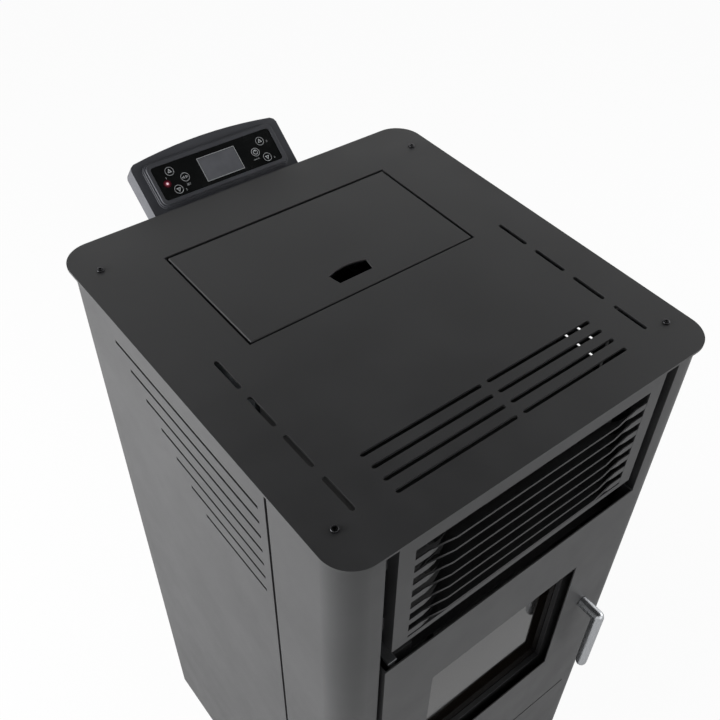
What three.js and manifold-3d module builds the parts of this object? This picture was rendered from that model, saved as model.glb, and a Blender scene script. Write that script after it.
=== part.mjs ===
// Pellet stove with a flush hopper lid, a louvred front grille and a keypad behind the top plate.
// Millimetres, +Z up, front towards -Y. While building, y = 0 is the top plate's front edge and
// z = 0 the floor; the whole stove is moved at the end so that its origin is its bounding box's
// bottom centre.
import * as THREE from 'three';
import * as BufferGeometryUtils from 'three/addons/utils/BufferGeometryUtils.js';
import Module from 'manifold-3d';

const wasm = await Module();
wasm.setup();

// ---------------------------------------------------------------- driving dimensions

const STOVE_HEIGHT = 945;
const PLATE_WIDTH = 480;
const PLATE_DEPTH = 514;
const PLATE_THICK = 3;
const PLATE_RADIUS = 34;
const PLATE_SIDE_OVERHANG = 2.5;
const PLATE_FRONT_OVERHANG = 6.5;
const PLATE_REAR_OVERHANG = 36;

const SHEET = 2;
const SEAT_GAP = 0.3;
const RUN_GAP = 0.4;
const ROUND_SIDES = 20;
const SMALL_SIDES = 12;
const TUBE_SIDES = 10;
const HOLE_SIDES = 8;
const QUARTER_TURN = 90;
const BEND_STEPS = 4;
const COLUMN_STEPS = 8;
const CROWN_STEPS = 10;
const TWIST_SHARES = [0.3, 0.6, 1];
const TWIST_BACK = [0.6, 0.3, 0];
const FLUE_SIDES = 28;
const AIR_PIPE_SIDES = 24;
const CORNER_STEPS = 8;
const SLOT_END_STEPS = 3;

const FOOT_HEIGHT = 30;
const FOOT_PAD = 8;
const FOOT_NECK = 9;
const BASE_LIP = 22;
const BASE_SETBACK = 24;
const FLUE_Z = 185;
const REAR_VENT_COUNT = 8;
const REAR_VENT_X = -10;
const REAR_VENT_Z = 400;
const REAR_VENT_PITCH = 14;
const REAR_VENT_LENGTH = 150;
const REAR_VENT_HEIGHT = 5;
const FOOT_RADIUS = 20;
const FOOT_STUD_RADIUS = 5;
const FOOT_INSET = 55;

const LID_WIDTH = 294;
const LID_DEPTH = 163;
const LID_GAP = 3;
const LID_CENTRE_Y = 358;
const LID_FLANGE = 12;
const LID_ROD_INSET = 8;
const LID_ROD_DROP = 6;
const LID_ROD_RADIUS = 2.5;
const FINGER_FRONT_HALF = 22;
const FINGER_REAR_HALF = 25;
const FINGER_SETBACK = 21;
const FINGER_DEPTH = 16;
const FINGER_ARCH = 5;

const SIDE_SLOT_INSET = 51;
const SIDE_SLOT_WIDTH = 5.5;
const SIDE_SLOT_LENGTH = 45;
const SIDE_SLOT_PITCH = 58.7;
const SIDE_SLOT_COUNT = 4;
const SIDE_SLOT_FIRST_Y = 53;
const FRONT_SLOT_WIDTH = 5;
const FRONT_SLOT_INNER_X = 3.5;
const FRONT_SLOT_LENGTH = 146;
const FRONT_SLOT_PITCH = 16.6;
const FRONT_SLOT_COUNT = 4;
const FRONT_SLOT_FIRST_Y = 46.8;

const COLUMN_SEAM_Y = 114;
const COLUMN_FACE = 46.5;
const COLUMN_RETURN = 20;
const SEAM_GAP = 3.5;
const SEAM_FLANGE = 12;
const PANEL_BEND_RADIUS = 8;
const REAR_FLANGE = 25;
const VENT_COUNT = 7;
const VENT_HEIGHT = 4.5;
const VENT_PITCH = 22.8;
const VENT_FIRST_DROP = 39.5;
const VENT_FRONT_Y = 130;
const VENT_LONGEST = 267;
const VENT_STEP = 25.4;

const GRILLE_SIDE_GAP = 15.6;
const GRILLE_SETBACK = 8.3;
const GRILLE_TOP_DROP = 17;
const GRILLE_HEIGHT = 178;
const GRILLE_BORDER = 19.5;
const GRILLE_TOP_BORDER = 19.7;
const GRILLE_BOTTOM_BORDER = 8;
const GRILLE_RETURN = 25;
const GRILLE_TAB = 24;
const BLADE_COUNT = 7;
const BLADE_PITCH = 20.5;
const BLADE_FIRST_DROP = 57;
const BLADE_END_HEIGHT = 9;
const BLADE_MID_HEIGHT = 17;
const BLADE_THICK = 1.6;
const BLADE_TILT = 58;
const BLADE_FLAT_END = 19;
const BLADE_TWIST = 30;

const DOOR_SIDE_GAP = 5;
const DOOR_SETBACK = 3.5;
const DOOR_TOP_DROP = 218;
const FASCIA_HEIGHT = 60;
const DOOR_FLANGE = 13;
const WINDOW_HALF = 115;
const WINDOW_TOP_MARGIN = 97;
const WINDOW_HEIGHT = 240;
const FRAME_INSET = 16;
const FRAME_END_MARGIN = 22;
const FRAME_THICK = 11;
const GLASS_THICK = 4;
const GLASS_LAP = 12;
const GASKET_SIZE = 9;
const GASKET_INSET = 4;
const HINGE_INSET = 12;
const HINGE_DEPTH = 8;
const HINGE_PIN_RADIUS = 3;
const KNUCKLE_RADIUS = 5.4;
const KNUCKLE_LENGTH = 28;
const HINGE_LUG = 4;
const HANDLE_INSET = 29;
const HANDLE_SHAFT_RADIUS = 5;
const HANDLE_LENGTH = 118;
const HANDLE_STANDOFF = 30;
const HANDLE_GRIP_RADIUS = 8;
const LATCH_REACH = 22;

const DRAWER_SIDE_GAP = 7;
const DRAWER_FLOOR_Z = 100;
const DRAWER_PULL_HALF = 45;
const DRAWER_FACE_HEIGHT = 150;
const DRAWER_BOX_HEIGHT = 95;
const DRAWER_DEPTH = 225;
const FACE_GAP = 4;

const FIREBOX_SIDE_SPACE = 87.5;
const FIREBOX_FRONT_Y = 38;
const FIREBOX_REAR_Y = 265;
const FIREBOX_WALL = 4;
const FIREBOX_TOP_DROP = 55;
const FIREBOX_FLANGE_INSET = 6;
const MOUTH_SIDE_MARGIN = 15;
const MOUTH_TOP_MARGIN = 45;
const MOUTH_BOTTOM_MARGIN = 40;
const HEARTH_RISE = 12;
const ASH_HOLE_HALF = 62;
const ASH_HOLE_FRONT = 60;
const ASH_HOLE_REAR = 118;
const SKIRT_FRONT = 48;
const RAIL_WIDTH = 12;
const LINER_THICK = 18;
const BAFFLE_THICK = 6;
const TUBE_RADIUS = 16;
const TUBE_WALL = 2;
const TUBE_COLUMNS = 5;
const TUBE_ROWS = 2;
const TUBE_PITCH = 52;
const TUBE_ROW_PITCH = 50;

const POT_HALF = 40;
const POT_WALL = 3;
const HOLDER_HEIGHT = 45;
const HOLDER_WALL = 4;
const POT_CENTRE_Y = 178;
const POT_RIM = 6;
const IGNITER_RADIUS = 6;

const HOPPER_STRAIGHT = 225;
const HOPPER_FUNNEL = 125;
const HOPPER_NECK = 55;
const HOPPER_LEDGE = 14;
const LID_GASKET_THICK = 2.4;
const HOPPER_OUTLET_HALF = 24;
const HOPPER_OUTLET_Y = 386;
const GUARD_DROP = 45;
const GUARD_BAR = 4;
const GUARD_BARS = 7;

const AUGER_RUN_GAP = 2;
const AUGER_TILT = 45;
const AUGER_TOP_Y = 296;
const AUGER_RISE = 23.3;
const AUGER_TUBE_RADIUS = 28;
const AUGER_TUBE_WALL = 3;
const AUGER_TUBE_LENGTH = 163;
const AUGER_RADIUS = 23;
const AUGER_SHAFT_RADIUS = 7;
const AUGER_PITCH = 36;
const AUGER_FLIGHT = 3;
const GEARBOX_SIZE = 56;
const GEARBOX_LENGTH = 28;
const GEARMOTOR_RADIUS = 22;
const GEARMOTOR_LENGTH = 28;
const CHUTE_HALF = 22;
const CHUTE_WALL = 2;
const CHUTE_LENGTH = 98;
const CHUTE_PLACE = 134;

const SMOKE_FAN_INSET = 112.5;
const SMOKE_FAN_Y = 372;
const SMOKE_FAN_Z = 215;
const SMOKE_SCROLL_RADIUS = 72;
const SMOKE_SCROLL_WIDTH = 88;
const SMOKE_WHEEL_RADIUS = 58;
const SMOKE_WHEEL_WIDTH = 34;
const SMOKE_BLADES = 8;
const SMOKE_MOTOR_RADIUS = 38;
const SMOKE_MOTOR_LENGTH = 50;
const FLUE_RADIUS = 40;
const FLUE_WALL = 2;
const FLUE_STICK_OUT = 50;

const ROOM_FAN_X = 60;
const ROOM_FAN_Y = 372;
const ROOM_FAN_Z = 190;
const ROOM_SCROLL_RADIUS = 78;
const ROOM_SCROLL_WIDTH = 120;
const ROOM_FOOT = 16;
const ROOM_WHEEL_RADIUS = 60;
const ROOM_BLADES = 12;
const ROOM_OUTLET_HEIGHT = 42;

const AIR_PIPE_RADIUS = 25;
const AIR_PIPE_Z = 345;
const AIR_PIPE_STICK_OUT = 25;

const PANEL_X = -15;
const PANEL_Y = 550;
const PANEL_RISE = 12.4;
const PANEL_TILT = 38;
const PANEL_HALF = 99.5;
const PANEL_BOTTOM = -56;
const PANEL_SHOULDER = 33;
const PANEL_CROWN = 41;
const PANEL_CORNER = 6;
const PANEL_CORNER_LEAST = 1;
const CORNER_CUT = 0.3;
const PANEL_WALL = 2.5;
const PANEL_DEPTH = 26;
const BEZEL_RISE = 6;
const BEZEL_STEP = BEZEL_RISE * 0.2;
const BEZEL_TOP_STEP = BEZEL_RISE * 1.6 / 3;
const BEZEL_BAND = 8;
const BEZEL_RADIUS = 10;
const OVERLAY_HALF_W = 80.5;
const OVERLAY_HALF_H = 20.7;
const OVERLAY_RADIUS = 3.5;
const OVERLAY_THICK = 1.2;
const SCREEN_CENTRE = [2.4, -1.1];
const SCREEN_HALF_W = 24.4;
const SCREEN_HALF_H = 14;
const SCREEN_THICK = 5;
const BOARD_THICK = 1.6;
const KEY_RADIUS = 5.8;
const KEY_SIDES = 16;
const KEY_TRAVEL = 0.5;
const KEY_PLACES = [
  ['key_left_up', -60.5, 10.8],
  ['key_set', -46.4, -1.6],
  ['key_left_down', -60.3, -12.6],
  ['key_right_up', 62.3, 8.4],
  ['key_power', 50.2, -2.6],
  ['key_right_down', 61.8, -13],
];
const INDICATOR_PLACE = [-69.8, -2.2];
const INDICATOR_RADIUS = 3;
const BRACKET_HALF = 45;

const INLET_INSET = 87.5;
const INLET_Z = 110;
const INLET_HALF_W = 14;
const INLET_HALF_H = 12;
const ROCKER_HALF_W = 10;
const ROCKER_HALF_H = 7;
const CONTROL_BOARD_SIZE = [34, 120, 150];
const CONTROL_BOARD_Z = 600;

const EDGE_ROUND = 1;
const LID_ROD_TAIL = 3;
const HOPPER_MARGIN = 0.5;
const GUARD_FRAME = 8;
const FLANGE_MARGIN = 13;
const BAFFLE_RISE = 5;
const BAFFLE_GAP = 14;
const TUBE_DROP = 34;
const HOLDER_FOOT = 14;
const POT_DEPTH = 40;
const POT_HOLE_PITCH = 22;
const POT_HOLE_RADIUS = 3.5;
const IGNITER_TAIL = 24;
const LINER_FLUTES = 8;
const LINER_FLUTE_Z = 420;
const SMOKE_PORT_RADIUS = 18;
const SMOKE_PORT_SHIFT = 22;
const SMOKE_PORT_RISE = 25;
const SHAFT_RADIUS = 4;
const SHAFT_SOCKET = 14;
const FLUE_SETBACK = 14;
const FLUE_BEAD = 5;
const ROOM_EYE_RADIUS = 42;
const ROOM_MOTOR_RADIUS = 30;
const ROOM_MOTOR_LENGTH = 26;
const SPACER_X = 112;
const SPACER_HEIGHT = 24;
const LUG_GAP = 1;
const LUG_FOOT = 12;
const LATCH_HALF = 7;
const DRAWER_PULL_DROP = 30;
const DRAWER_PULL_REACH = 16;
const DRAWER_PULL_LIP = 8;
const INLET_FLANGE = 4;
const INLET_DEPTH = 22;
const ROCKER_DEPTH = 12;
const ROCKER_FOOT = 4;
const ROCKER_RISE = 1.5;
const PIN_PITCH = 6;
const PIN_HALF = 1;
const CONTROL_BOARD_SETBACK = 190;
const BOARD_STANDOFF = 6;
const BOARD_CHIPS = [
  [18, 20, 30, 35, 15],
  [62, 25, 18, 18, 10],
  [62, 70, 40, 12, 8],
  [22, 90, 20, 40, 12],
];
const BEZEL_LIP = 0.8;
const OVERLAY_LEDGE = 1.5;
const SCREEN_SINK = 0.3;
const KEY_RISE = 0.4;
const KEY_STEM = 2.5;
const KEY_POST_RADIUS = 2;
const POST_GAP = 0.2;
const BOARD_POST_X = 40;
const BRACKET_GRIP = 30;
const BRACKET_DROP = 52;

const RADIANS = Math.PI / 180;

// ---------------------------------------------------------------- sizes that follow

const PLATE_TOP = STOVE_HEIGHT;
const PLATE_UNDER = PLATE_TOP - PLATE_THICK;
const BODY_TOP = PLATE_UNDER - SEAT_GAP;
const BODY_BOTTOM = FOOT_HEIGHT;
const BODY_HALF = PLATE_WIDTH / 2 - PLATE_SIDE_OVERHANG;
const BODY_FRONT = PLATE_FRONT_OVERHANG;
const BODY_REAR = PLATE_DEPTH - PLATE_REAR_OVERHANG;
const COLUMN_RADIUS = PLATE_RADIUS - PLATE_SIDE_OVERHANG;
const COLUMN_INNER_X = BODY_HALF - COLUMN_FACE;
const SIDE_SLOT_X = PLATE_WIDTH / 2 - SIDE_SLOT_INSET;
const GRILLE_HALF = COLUMN_INNER_X - GRILLE_SIDE_GAP;
const DOOR_HALF = COLUMN_INNER_X - DOOR_SIDE_GAP;
const FRAME_HALF = DOOR_HALF - FRAME_INSET;
const HANDLE_X = DOOR_HALF - HANDLE_INSET;
const FIREBOX_HALF = BODY_HALF - FIREBOX_SIDE_SPACE;
const FIREBOX_FLANGE_HALF = DOOR_HALF - FIREBOX_FLANGE_INSET;
const MOUTH_HALF = FIREBOX_HALF - MOUTH_SIDE_MARGIN;
const DRAWER_FACE_HALF = DOOR_HALF;
const DRAWER_HALF = FIREBOX_HALF - DRAWER_SIDE_GAP;
const SMOKE_FAN_X = SMOKE_FAN_INSET - BODY_HALF;
const INLET_X = BODY_HALF - INLET_INSET;
const SIDE_PANEL_FRONT = COLUMN_SEAM_Y + SEAM_GAP;
const REAR_PANEL_Y = BODY_REAR - SHEET - SEAT_GAP;
const LID_FRONT = LID_CENTRE_Y - LID_DEPTH / 2;
const LID_REAR = LID_CENTRE_Y + LID_DEPTH / 2;
const OPENING_HALF = LID_WIDTH / 2 + LID_GAP;
const OPENING_FRONT = LID_FRONT - LID_GAP;
const OPENING_REAR = LID_REAR + LID_GAP;
const LID_ROD_Y = LID_REAR - LID_ROD_INSET;
const LID_ROD_Z = PLATE_TOP - LID_ROD_DROP;
const LID_FLANGE_BOTTOM = PLATE_TOP - LID_FLANGE;
const GRILLE_TOP = PLATE_TOP - GRILLE_TOP_DROP;
const GRILLE_BOTTOM = GRILLE_TOP - GRILLE_HEIGHT;
const FASCIA_TOP = BODY_BOTTOM + SHEET + FASCIA_HEIGHT;
const DRAWER_FACE_BOTTOM = FASCIA_TOP + FACE_GAP;
const DRAWER_FACE_TOP = DRAWER_FACE_BOTTOM + DRAWER_FACE_HEIGHT;
const DOOR_BOTTOM = DRAWER_FACE_TOP + FACE_GAP;
const DOOR_TOP = PLATE_TOP - DOOR_TOP_DROP;
const WINDOW_TOP = DOOR_TOP - WINDOW_TOP_MARGIN;
const WINDOW_BOTTOM = WINDOW_TOP - WINDOW_HEIGHT;
const WINDOW_MID = (WINDOW_TOP + WINDOW_BOTTOM) / 2;
const FRAME_FRONT = DOOR_SETBACK + DOOR_FLANGE + SEAT_GAP;
const FRAME_REAR = FRAME_FRONT + FRAME_THICK;
const FRAME_TOP = DOOR_TOP - FRAME_END_MARGIN;
const FRAME_BOTTOM = DOOR_BOTTOM + FRAME_END_MARGIN;
const HINGE_X = -(DOOR_HALF - HINGE_INSET);
const HINGE_Y = DOOR_SETBACK + HINGE_DEPTH;
const FIREBOX_TOP = PLATE_TOP - FIREBOX_TOP_DROP;
const FIREBOX_BOTTOM = DOOR_BOTTOM + HEARTH_RISE;
const MOUTH_TOP = DOOR_TOP - MOUTH_TOP_MARGIN;
const MOUTH_BOTTOM = DOOR_BOTTOM + MOUTH_BOTTOM_MARGIN;
const HEARTH_Z = FIREBOX_BOTTOM + FIREBOX_WALL;

const HOPPER_HALF = OPENING_HALF + HOPPER_MARGIN;
const HOPPER_FRONT = OPENING_FRONT - HOPPER_MARGIN;
const HOPPER_REAR = OPENING_REAR + HOPPER_MARGIN;
const FUNNEL_TOP = BODY_TOP - HOPPER_STRAIGHT;
const FUNNEL_BOTTOM = FUNNEL_TOP - HOPPER_FUNNEL;
const AUGER_TOP_Z = FUNNEL_BOTTOM + AUGER_RISE;
const AUGER_FOOT_Y = AUGER_TOP_Y + AUGER_TUBE_LENGTH * Math.sin(AUGER_TILT * RADIANS);
const AUGER_FOOT_Z = AUGER_TOP_Z - AUGER_TUBE_LENGTH * Math.cos(AUGER_TILT * RADIANS);
const INLET_FLOOR = AUGER_TOP_Z - (HOPPER_OUTLET_Y - AUGER_TOP_Y) + AUGER_SHAFT_RADIUS;
const FLANGE_TOP = DOOR_TOP + FLANGE_MARGIN;
const FLANGE_BOTTOM = DOOR_BOTTOM - FLANGE_MARGIN;
const BAFFLE_Z = DOOR_TOP + BAFFLE_RISE;
const IGNITER_Z = HEARTH_Z + HOLDER_HEIGHT / 2;
const LATCH_REAR = FIREBOX_FRONT_Y - SEAT_GAP - SHEET / 4;
const FLUE_INNER_Y = REAR_PANEL_Y - SHEET - FLUE_SETBACK;
const SMOKE_DUCT_X = SMOKE_FAN_X + SMOKE_PORT_SHIFT;
const SMOKE_DUCT_Z = FIREBOX_BOTTOM + SMOKE_PORT_RISE;
const SMOKE_DUCT_HALF = SMOKE_PORT_RADIUS + SHEET;
const ROCKER_X = INLET_X - INLET_HALF_W - ROCKER_HALF_W;

// ---------------------------------------------------------------- finishes

const finish = (color, roughness, metalness) => ({ color, roughness, metalness });
const CHARCOAL = finish(0x3a3a3b, 0.62, 0.1);
const BLACK_SHEET = finish(0x262627, 0.7, 0.1);
const CAST_IRON = finish(0x2b2a29, 0.85, 0.4);
const RAW_STEEL = finish(0x8b8d90, 0.45, 0.9);
const GALVANISED = finish(0x9da1a5, 0.5, 0.8);
const STAINLESS = finish(0xb3b5b8, 0.3, 1);
const DARK_PLASTIC = finish(0x46474d, 0.55, 0);
const BLACK_PLASTIC = finish(0x1d1d1f, 0.5, 0);
const GLOSS_BLACK = finish(0x0d0d0f, 0.15, 0);
const SCREEN_GREY = finish(0x4a4d52, 0.2, 0);
const CERAMIC_GLASS = finish(0x2a2420, 0.08, 0);
const ROPE_GREY = finish(0x55524d, 0.95, 0);
const LINER_BUFF = finish(0xa79878, 0.95, 0);
const BOARD_GREEN = finish(0x2c5a3a, 0.5, 0);
const RED_LENS = finish(0xc02035, 0.25, 0);
const RUBBER = finish(0x1a1a1a, 0.9, 0);

// ---------------------------------------------------------------- solids from geometry

function solid(geometry) {
  geometry.deleteAttribute('normal');
  geometry.deleteAttribute('uv');
  const merged = BufferGeometryUtils.mergeVertices(geometry, 1e-4);
  const vertProperties = new Float32Array(merged.attributes.position.array);
  const triVerts = new Uint32Array(merged.index.array);
  return new wasm.Manifold(new wasm.Mesh({ numProp: 3, vertProperties, triVerts }));
}

function joined(...solids) {
  return solids.reduce((sum, next) => sum.add(next));
}

function cut(body, ...tools) {
  return tools.reduce((rest, tool) => rest.subtract(tool), body);
}

function piece(name, body, look, parent) {
  const data = body.getMesh();
  const geometry = new THREE.BufferGeometry();
  geometry.setAttribute('position', new THREE.BufferAttribute(data.vertProperties, 3));
  geometry.setIndex(new THREE.BufferAttribute(data.triVerts, 1));
  geometry.computeVertexNormals();
  const mesh = new THREE.Mesh(geometry, new THREE.MeshStandardMaterial(look));
  mesh.name = name;
  parent.add(mesh);
  return mesh;
}

function block(x0, x1, y0, y1, z0, z1) {
  const geometry = new THREE.BoxGeometry(x1 - x0, y1 - y0, z1 - z0);
  geometry.translate((x0 + x1) / 2, (y0 + y1) / 2, (z0 + z1) / 2);
  return solid(geometry);
}

function extrusion(shape, depth, sides) {
  const settings = { depth, bevelEnabled: false, curveSegments: sides / 4 };
  return new THREE.ExtrudeGeometry(shape, settings);
}

// An outline in x and y, raised from z0 to z1.
function raised(shape, z0, z1, sides = SMALL_SIDES) {
  return solid(extrusion(shape, z1 - z0, sides).translate(0, 0, z0));
}

// An outline in x and z, carried back from y0 to y1.
function carriedBack(shape, y0, y1, sides = SMALL_SIDES) {
  const geometry = extrusion(shape, y1 - y0, sides);
  return solid(geometry.rotateX(Math.PI / 2).translate(0, y1, 0));
}

// An outline in y and z, carried across from x0 to x1.
function carriedAcross(shape, x0, x1, sides = SMALL_SIDES) {
  const geometry = extrusion(shape, x1 - x0, sides);
  geometry.rotateY(Math.PI / 2).rotateX(Math.PI / 2);
  return solid(geometry.translate(x0, 0, 0));
}

function cylinder(radius, length, sides) {
  return new THREE.CylinderGeometry(radius, radius, length, sides);
}

function rodX(radius, x0, x1, y, z, sides = ROUND_SIDES) {
  const geometry = cylinder(radius, x1 - x0, sides).rotateZ(Math.PI / 2);
  return solid(geometry.translate((x0 + x1) / 2, y, z));
}

function rodY(radius, y0, y1, x, z, sides = ROUND_SIDES) {
  return solid(cylinder(radius, y1 - y0, sides).translate(x, (y0 + y1) / 2, z));
}

function rodZ(radius, z0, z1, x, y, sides = ROUND_SIDES) {
  const geometry = cylinder(radius, z1 - z0, sides).rotateX(Math.PI / 2);
  return solid(geometry.translate(x, y, (z0 + z1) / 2));
}

// ---------------------------------------------------------------- outlines

function outline(points) {
  return new THREE.Shape(points.map(([x, y]) => new THREE.Vector2(x, y)));
}

function rectangle(x0, x1, y0, y1) {
  return outline([[x0, y0], [x1, y0], [x1, y1], [x0, y1]]);
}

function roundedRectangle(x0, x1, y0, y1, radius) {
  const shape = new THREE.Shape();
  shape.moveTo(x0 + radius, y0);
  shape.lineTo(x1 - radius, y0);
  shape.absarc(x1 - radius, y0 + radius, radius, -Math.PI / 2, 0);
  shape.lineTo(x1, y1 - radius);
  shape.absarc(x1 - radius, y1 - radius, radius, 0, Math.PI / 2);
  shape.lineTo(x0 + radius, y1);
  shape.absarc(x0 + radius, y1 - radius, radius, Math.PI / 2, Math.PI);
  shape.lineTo(x0, y0 + radius);
  shape.absarc(x0 + radius, y0 + radius, radius, Math.PI, 3 * Math.PI / 2);
  return shape;
}

function arc(cx, cy, radius, from, to, steps) {
  return Array.from({ length: steps + 1 }, (_, i) => {
    const angle = (from + (to - from) * i / steps) * RADIANS;
    return [cx + radius * Math.cos(angle), cy + radius * Math.sin(angle)];
  });
}

// A bent strip of sheet: the path is its outer face, its thickness lies left of the path.
function strip(path, thick) {
  const unit = (a, b) => {
    const length = Math.hypot(b[0] - a[0], b[1] - a[1]);
    return [(b[0] - a[0]) / length, (b[1] - a[1]) / length];
  };
  const inner = path.map((point, i) => {
    const before = unit(path[Math.max(i - 1, 0)], path[Math.max(i, 1)]);
    const after = unit(path[Math.min(i, path.length - 2)], path[Math.min(i + 1, path.length - 1)]);
    const normal = [-(before[1] + after[1]), before[0] + after[0]];
    const reach = 2 * thick / (normal[0] ** 2 + normal[1] ** 2);
    return [point[0] + normal[0] * reach, point[1] + normal[1] * reach];
  });
  return [...path, ...inner.reverse()];
}

function mirrored(points, side) {
  return points.map(([x, y]) => [side * x, y]);
}

// ---------------------------------------------------------------- casing

const stove = new THREE.Group();

// A slot with round ends, lying along x or along y.
function slotHole(x0, x1, y0, y1) {
  const radius = Math.min(x1 - x0, y1 - y0) / 2;
  const turn = x1 - x0 > y1 - y0 ? 0 : QUARTER_TURN;
  return outline([
    ...arc(x1 - radius, y1 - radius, radius, turn - QUARTER_TURN, turn + QUARTER_TURN, SLOT_END_STEPS),
    ...arc(x0 + radius, y0 + radius, radius, turn + QUARTER_TURN, turn + 3 * QUARTER_TURN, SLOT_END_STEPS),
  ]);
}

function makeTopPlate() {
  const half = PLATE_WIDTH / 2;
  const plate = roundedRectangle(-half, half, 0, PLATE_DEPTH, PLATE_RADIUS);
  plate.holes.push(rectangle(-OPENING_HALF, OPENING_HALF, OPENING_FRONT, OPENING_REAR));
  for (const side of [-1, 1]) {
    for (let i = 0; i < SIDE_SLOT_COUNT; i += 1) {
      const x = side * SIDE_SLOT_X - SIDE_SLOT_WIDTH / 2;
      const y = SIDE_SLOT_FIRST_Y + i * SIDE_SLOT_PITCH;
      plate.holes.push(slotHole(x, x + SIDE_SLOT_WIDTH, y, y + SIDE_SLOT_LENGTH));
    }
    for (let i = 0; i < FRONT_SLOT_COUNT; i += 1) {
      const x = side > 0 ? FRONT_SLOT_INNER_X : -FRONT_SLOT_INNER_X - FRONT_SLOT_LENGTH;
      const y = FRONT_SLOT_FIRST_Y + i * FRONT_SLOT_PITCH - FRONT_SLOT_WIDTH / 2;
      plate.holes.push(slotHole(x, x + FRONT_SLOT_LENGTH, y, y + FRONT_SLOT_WIDTH));
    }
  }
  piece('top_plate', raised(plate, PLATE_UNDER, PLATE_TOP, 4 * CORNER_STEPS), CHARCOAL, stove);
}

function makeSidePanel(name, side) {
  const r = PANEL_BEND_RADIUS;
  const path = [
    [BODY_HALF - SEAM_FLANGE, SIDE_PANEL_FRONT],
    [BODY_HALF, SIDE_PANEL_FRONT],
    ...arc(BODY_HALF - r, BODY_REAR - r, r, 0, QUARTER_TURN, BEND_STEPS),
    [BODY_HALF - REAR_FLANGE, BODY_REAR],
  ];
  const profile = outline(mirrored(strip(path, SHEET), side));
  let panel = raised(profile, BODY_BOTTOM, BODY_TOP);
  for (let i = 0; i < VENT_COUNT; i += 1) {
    const z = PLATE_TOP - VENT_FIRST_DROP - i * VENT_PITCH;
    const rear = VENT_FRONT_Y + VENT_LONGEST - i * VENT_STEP;
    const outer = side * (BODY_HALF + SHEET);
    const inner = side * (BODY_HALF - 2 * SHEET);
    const x0 = Math.min(outer, inner);
    const x1 = Math.max(outer, inner);
    panel = cut(panel, block(x0, x1, VENT_FRONT_Y, rear, z - VENT_HEIGHT / 2, z + VENT_HEIGHT / 2));
  }
  piece(name, panel, CHARCOAL, stove);
}

function makeCornerColumn(name, side) {
  const r = COLUMN_RADIUS;
  const path = [
    [BODY_HALF - SEAM_FLANGE, COLUMN_SEAM_Y],
    [BODY_HALF, COLUMN_SEAM_Y],
    ...arc(BODY_HALF - r, BODY_FRONT + r, r, 0, -QUARTER_TURN, COLUMN_STEPS),
    [COLUMN_INNER_X, BODY_FRONT],
    [COLUMN_INNER_X, BODY_FRONT + COLUMN_RETURN],
  ];
  const profile = outline(mirrored(strip(path.reverse(), SHEET), side));
  piece(name, raised(profile, BODY_BOTTOM, BODY_TOP), CHARCOAL, stove);
}

// One louvre blade: flat where it leaves the frame, then turned top edge forwards.
function louvreBlade(halfLength, y, z) {
  const turnedAt = halfLength - BLADE_FLAT_END - BLADE_TWIST;
  const stations = [[-halfLength, 0], [-halfLength + BLADE_FLAT_END, 0]];
  for (const share of TWIST_SHARES) {
    stations.push([-halfLength + BLADE_FLAT_END + BLADE_TWIST * share, share]);
  }
  stations.push([turnedAt, 1]);
  for (const share of TWIST_BACK) {
    stations.push([turnedAt + BLADE_TWIST * (1 - share), share]);
  }
  stations.push([halfLength, 0]);
  const positions = stations.flatMap(([x, share]) => {
    const angle = BLADE_TILT * RADIANS * share;
    const rear = BLADE_END_HEIGHT / 2 + (BLADE_MID_HEIGHT - BLADE_END_HEIGHT) * share;
    const corners = [
      [-BLADE_THICK / 2, BLADE_END_HEIGHT / 2],
      [BLADE_THICK / 2, BLADE_END_HEIGHT / 2],
      [BLADE_THICK / 2, -rear],
      [-BLADE_THICK / 2, -rear],
    ];
    return corners.flatMap(([across, up]) => [
      x,
      y + across * Math.cos(angle) - up * Math.sin(angle),
      z + across * Math.sin(angle) + up * Math.cos(angle),
    ]);
  });
  return loft(positions, 4, stations.length);
}

// A closed skin over rings of corners, each ring listed the same way round.
function loft(positions, corners, rings, place = new THREE.Matrix4()) {
  const index = [];
  for (let ring = 0; ring < rings - 1; ring += 1) {
    for (let c = 0; c < corners; c += 1) {
      const a = ring * corners + c;
      const b = ring * corners + (c + 1) % corners;
      index.push(a, b, a + corners, b, b + corners, a + corners);
    }
  }
  const last = (rings - 1) * corners;
  for (let c = 1; c < corners - 1; c += 1) {
    index.push(0, c + 1, c, last, last + c, last + c + 1);
  }
  const geometry = new THREE.BufferGeometry();
  geometry.setAttribute('position', new THREE.BufferAttribute(new Float32Array(positions), 3));
  geometry.setIndex(index);
  geometry.applyMatrix4(place);
  return outward(solid(geometry), geometry);
}

// Turns a skin the right way out when its rings were listed the other way round.
function outward(body, geometry) {
  if (body.volume() > 0) return body;
  const index = geometry.index.array;
  for (let i = 0; i < index.length; i += 3) {
    [index[i], index[i + 1]] = [index[i + 1], index[i]];
  }
  return solid(geometry);
}

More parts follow.
